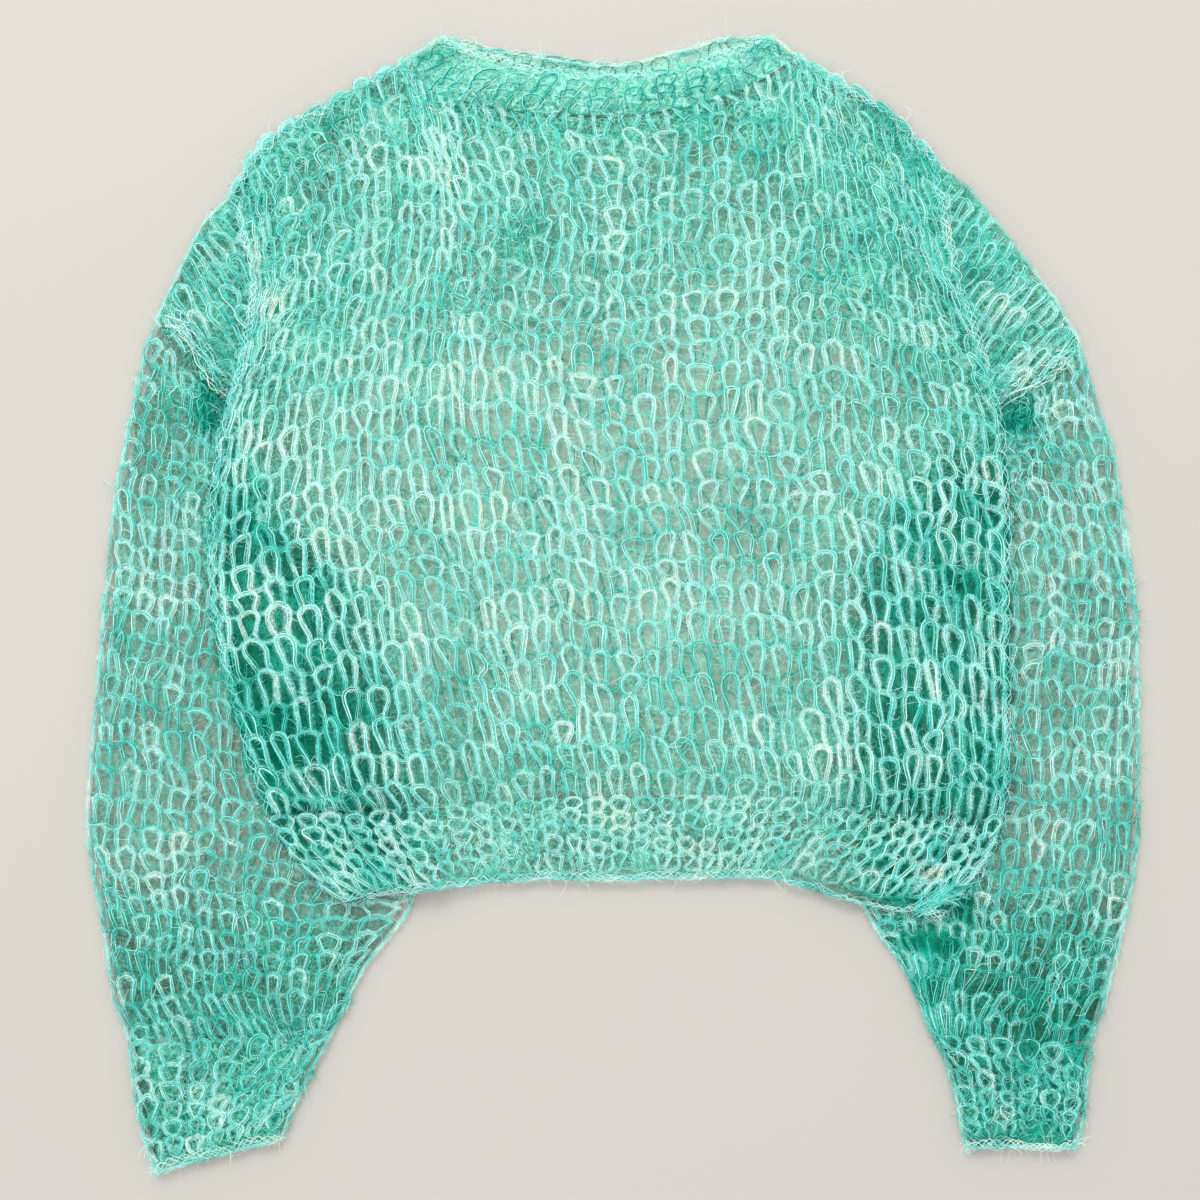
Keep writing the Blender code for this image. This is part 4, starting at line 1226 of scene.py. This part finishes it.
def stitchArea(guide):
    # a common stitch of a net, square millimetres
    grid = guide["points"]
    if guide["around"]:
        grid = np.concatenate([grid, grid[:, :1]], 1)
    wide = np.linalg.norm(np.diff(grid, axis=1), axis=-1)[:-1]
    tall = np.linalg.norm(np.diff(grid, axis=0), axis=-1)[:, :-1]
    return float(np.median(wide) * np.median(tall)) * fine ** 2


def depthUnder(above, least):
    # how deep a strand lies: under other pieces, or on the underside of its own; this sets the painted shade
    # of its yarn and film
    def deepOf(place, out):
        return np.maximum(hidden(place, above) if above else 0.0, np.where(out[:, 2] < 0, least, 0.0))
    return deepOf


def net(guide, stitch, samples, reach, deepOf, crowd, **more):
    return {"guide": guide, "stitch": stitch, "samples": samples, "reach": reach, "deepOf": deepOf,
            "crowd": {**plainCrowd, **crowd}, "stitchArea": stitchArea(guide), **more}


# Front and back. Patches are a place, a size and how dark they are: the first a dark patch of the dye,
# then painted shade below the neckband, then two faint darker patches near the armholes.
bodySize = (31, 26)                                   # stitches, rows
bodyReach = (-0.2, 26.15)                             # rows at which the net begins and ends
sleeveNames = ["left_sleeve", "right_sleeve"]
bodyShadeAndDyePatches = [
    ((-54.0, 226.0), (17.0, 15.0), 0.30), ((-15.0, 297.0), (60.0, 8.0), 0.25),
    ((-82.0, 306.0), (38.0, 10.0), 0.30), ((57.0, 304.0), (38.0, 10.0), 0.30),
    ((160.0, 215.0), (26.0, 34.0), 0.10), ((-175.0, 190.0), (22.0, 30.0), 0.10),
]
frontSeams = [
    ([(0.15, 15.2), (0.12, 20.0), (0.12, 26.0)], ridge, 21),
    ([(30.85, 15.2), (30.88, 20.0), (30.88, 26.0)], ridge, 22),
    ([(0.1, 0.0), (0.1, 15.2)], sideSeam, 23), ([(30.9, 0.0), (30.9, 15.2)], sideSeam, 24),
    ([(0.0, 25.95), (8.4, 25.95)], ridge, 25), ([(24.3, 25.95), (31.0, 25.95)], ridge, 26),
]
# dim is painted shade on the front's yarn where it is crowded
frontCrowd = {"side": 0.5, "low": 0.3, "lowRows": 0.25, "high": 0.4, "highRows": 0.42, "dim": 0.16}
backCrowd = {"all": 0.9, "side": 2.6, "low": 1.0, "lowRows": 0.25, "high": 1.5, "highRows": 0.42}
front = panelGuide("front", *bodySize, 1, 1.0)
frontEdges = []
for corners, look, seed in frontSeams:
    frontEdges += braid(*alongEdge(front, corners), seed, look)
knitPiece("front", {
    "seed": 100, "uneven": 1.0, "hairs": (12000, 7500), "flat": (0.50, 0.44), "area": 0.205,
    "yarn": {}, "pliesApart": True, "edges": frontEdges,
    "free": freeEdges(front, [(0.0, 0.0), (0.0, 13.0), (0.0, 26.0), (8.4, 26.0)],
                      [(24.3, 26.0), (31.0, 26.0), (31.0, 13.0), (31.0, 0.0)]),
    "nets": [net(front, plainStitch, 18, bodyReach, depthUnder([], 0.0), frontCrowd, onto=sleeveNames,
                 gaps=bodyShadeAndDyePatches)],
})
back = panelGuide("back", *bodySize, 2, -1.0)
knitPiece("back", {
    "seed": 200, "uneven": 1.0, "hairs": (1200, 1000), "flat": (0.50, 0.45), "area": 0.207,
    "yarn": {"plies": 2, "core": 0.36}, "coreFlat": True,
    "nets": [net(back, plainStitch, 12, bodyReach, depthUnder([], 0.4), backCrowd)],
})

# Sleeves, each with a part that folds over itself below the armhole
# painted shade on the sleeves' yarn and film, all over and more where crowded
sleeveCrowd = {"all": 1.2, "high": 9.0, "highRows": 0.15, "shade": 0.17, "dim": 0.07, "cells": 0.34}
sleevePieces = {
    "left_sleeve": {
        "seed": 300, "rows": "left", "columns": (3, 4), "last": 15, "low": 3.0,
        "across": (0.78, -0.63), "outline": "leftCap", "wide": 12.5, "tall": 17.0,
        # painted shade in the hollow at the inner end of the fold, and beside and under the hem's tuft
        "gaps": [((245.0, 116.0), (13.0, 11.0), 1.0), ((213.0, -186.0), (7.0, 14.0), 1.0),
                 ((194.0, -211.0), (16.0, 6.0), 1.0)],
        "fold": [(234.0, 122.0), (248.3, 128.5), (262.0, 136.5), (273.1, 143.9), (285.0, 151.5)],
    },
    "right_sleeve": {
        "seed": 400, "rows": "right", "columns": (1, 2), "last": 16, "low": 1.4,
        "across": (0.86, 0.51), "outline": "rightCap", "wide": 12.5, "tall": 17.0,
        # painted shade in the hollow at the inner end of the fold
        "gaps": [((-252.0, 121.0), (9.0, 15.0), 1.0)],
        "fold": [(-284.5, 178.0), (-277.0, 170.5), (-267.5, 163.0), (-259.5, 150.6), (-249.0, 136.7),
                 (-239.0, 128.0)],
    },
}
for name, sleeve in sleevePieces.items():
    tube = tubeGuide(name, 22, 31, sleevePlace(sleeve["rows"], sleeve["columns"], sleeve["last"], 11))
    above, below = capGuide(name, sleeve, True), capGuide(name, sleeve, False)
    outline = outlines[sleeve["outline"]]
    knitPiece(name, {
        "seed": sleeve["seed"], "uneven": 1.0, "hairs": (5500, 4500), "flat": (0.36, 0.50), "area": 0.125,
        "yarn": {"plies": 4, "core": 0.18, "spread": 1.6},
        "edges": bunch(sleeve["fold"], trees[name], sleeve["seed"] + 31, foldBunch),
        "free": (freeEdges(tube, [(0.0, 0.0), (0.0, 31.0)], [(11.0, 0.0), (11.0, 31.0)])
                 + [onWall(trees[name], np.array(outline + outline[:1]))]),
        "nets": [net(tube, plainStitch, 12, (-0.35, 31.1), depthUnder(["front", "back"], 0.35),
                     {**sleeveCrowd, "low": sleeve["low"]}, gaps=sleeve["gaps"]),
                 net(above, plainStitch, 16, (0.0, float(above["rows"])), depthUnder([], 0.0),
                     {"all": 3.0, "shade": 0.20}, clip=outline),
                 net(below, plainStitch, 12, (0.0, float(below["rows"])), depthUnder(["front"], 0.5),
                     {"all": 2.6}, clip=outline)],
    })

# Hem, neckband and cuffs
hem = tubeGuide("hem_band", 62, 5, hemPlace)
knitPiece("hem_band", {
    "seed": 500, "uneven": 0.6, "hairs": (2500, 1800), "flat": (0.86, 0.052),
    "yarn": {"plies": 4, "spread": 1.0},
    "edges": (braid(*alongEdge(hem, [(0.5, 0.12), (31.0, 0.12), (61.5, 0.12)]), 51, castOff)
              + tuft("hem_band", (182.0, -193.0), (0.84, 0.54), endTuft, 52)),
    "free": freeEdges(hem, [(0.0, 0.05), (31.0, 0.05)]),
    "nets": [net(hem, hemStitch, 13, (0.1, 5.6), depthUnder([], 0.4), {"all": 1.8}, onto=sleeveNames)],
})
neck = tubeGuide("neckband", 26, 3, neckPlace)
knitPiece("neckband", {
    "seed": 600, "uneven": 0.7, "hairs": (1200, 1000), "flat": (0.44, 0.026),
    "yarn": {"plies": 2, "spread": 0.6, "core": 0.32, "haloDye": 0.40}, "hairDye": 0.40,
    "edges": (braid(*alongEdge(neck, [(0.0, 2.85), (13.0, 2.85), (26.0, 2.85)]), 61, castOff)
              + tuft("neckband", (84.0, 340.0), (0.8, 0.5), neckTuft, 62)
              + tuft("neckband", (-103.0, 342.0), (-0.8, 0.4), neckTuft, 63)),
    "free": freeEdges(neck, [(0.0, 0.0), (0.0, 2.9), (13.0, 2.9), (13.0, 0.0)], [(13.0, 2.9), (26.0, 2.9)]),
    "nets": [net(neck, bandStitch, 12, (-0.15, 2.95), depthUnder([], 0.0),
                 {"all": 3.0, "shade": 0.42, "tone": (0.05, -2.4)})],
})
cuffPieces = {
    "left_cuff": {"seed": 700, "rows": "leftCuff", "around": 12, "flat": (0.17, 0.066),
                  "crowd": {"all": 5.5, "shade": 0.36}},
    "right_cuff": {"seed": 800, "rows": "rightCuff", "around": 14, "flat": (0.20, 0.076),
                   "crowd": {"all": 2.8, "shade": 0.21}},
}
cuffRows = 6
for name, look in cuffPieces.items():
    cuff = tubeGuide(name, look["around"], cuffRows, cuffPlace(look["rows"]))
    side, end = look["around"] / 2, float(cuffRows)
    openEnd = alongEdge(cuff, [(0.0, 0.12), (side, 0.12), (2 * side, 0.12)])
    knitPiece(name, {
        "seed": look["seed"], "uneven": 0.8, "hairs": (1700, 1300), "flat": look["flat"],
        "yarn": {"plies": 5, "spread": 1.2}, "edges": braid(*openEnd, look["seed"] + 1, castOff),
        "free": freeEdges(cuff, [(0.0, end), (0.0, 0.0)], [(0.0, 0.0), (side, 0.0)],
                          [(side, 0.0), (side, end)]),
        "nets": [net(cuff, cuffStitch, 16, (0.1, cuffRows + 0.7), depthUnder([], 0.5), look["crowd"])],
    })
print("triangles", sum(tally.values()), tally)

# Floor, light and camera
floorLook = {"color": (0.768, 0.750, 0.722), "size": 6.0}
lampLook = {"place": (-0.9, 2.6, 3.0), "size": 1.8, "power": 96.0, "color": (1.0, 0.995, 0.98)}
skyLook = {"color": (0.98, 0.99, 1.0, 1.0), "strength": 0.95}
cameraLook = {"wide": 0.744, "lens": 65.0, "sensor": 36.0, "x": -0.008, "y": 0.0022, "aimHeight": 0.006}


def makeFloor():
    work = bmesh.new()
    bmesh.ops.create_grid(work, x_segments=1, y_segments=1, size=floorLook["size"])
    mesh = bpy.data.meshes.new("floor")
    work.to_mesh(mesh)
    work.free()
    material, _, shader = newMaterial("paleFloor", **softLook)
    shader.inputs["Base Color"].default_value = linear(floorLook["color"])
    mesh.materials.append(material)
    floor = addObject("floor", mesh)


def makeLight():
    data = bpy.data.lights.new("windowLight", "AREA")
    data.shape = "DISK"
    data.size = lampLook["size"]
    data.energy = lampLook["power"]
    data.color = lampLook["color"]
    lamp = addObject("windowLight", data)
    lamp.location = lampLook["place"]
    lamp.rotation_mode = "QUATERNION"
    lamp.rotation_quaternion = (-Vector(lampLook["place"])).to_track_quat("-Z", "Y")
    world = bpy.data.worlds.new("studio")
    bpy.context.scene.world = world
    world.use_nodes = True
    sky = world.node_tree.nodes["Background"]
    sky.inputs["Color"].default_value = skyLook["color"]
    sky.inputs["Strength"].default_value = skyLook["strength"]


def makeCamera():
    # looks straight down, far enough away that the wide side fills the view
    data = bpy.data.cameras.new("camera")
    data.lens = cameraLook["lens"]
    data.sensor_width = cameraLook["sensor"]
    camera = addObject("camera", data)
    away = cameraLook["wide"] * cameraLook["lens"] / cameraLook["sensor"]
    camera.location = (cameraLook["x"], cameraLook["y"], cameraLook["aimHeight"] + away)
    bpy.context.scene.camera = camera
    bpy.context.scene.view_settings.view_transform = "Standard"


makeFloor()
makeLight()
makeCamera()
print("floor, light and camera placed")
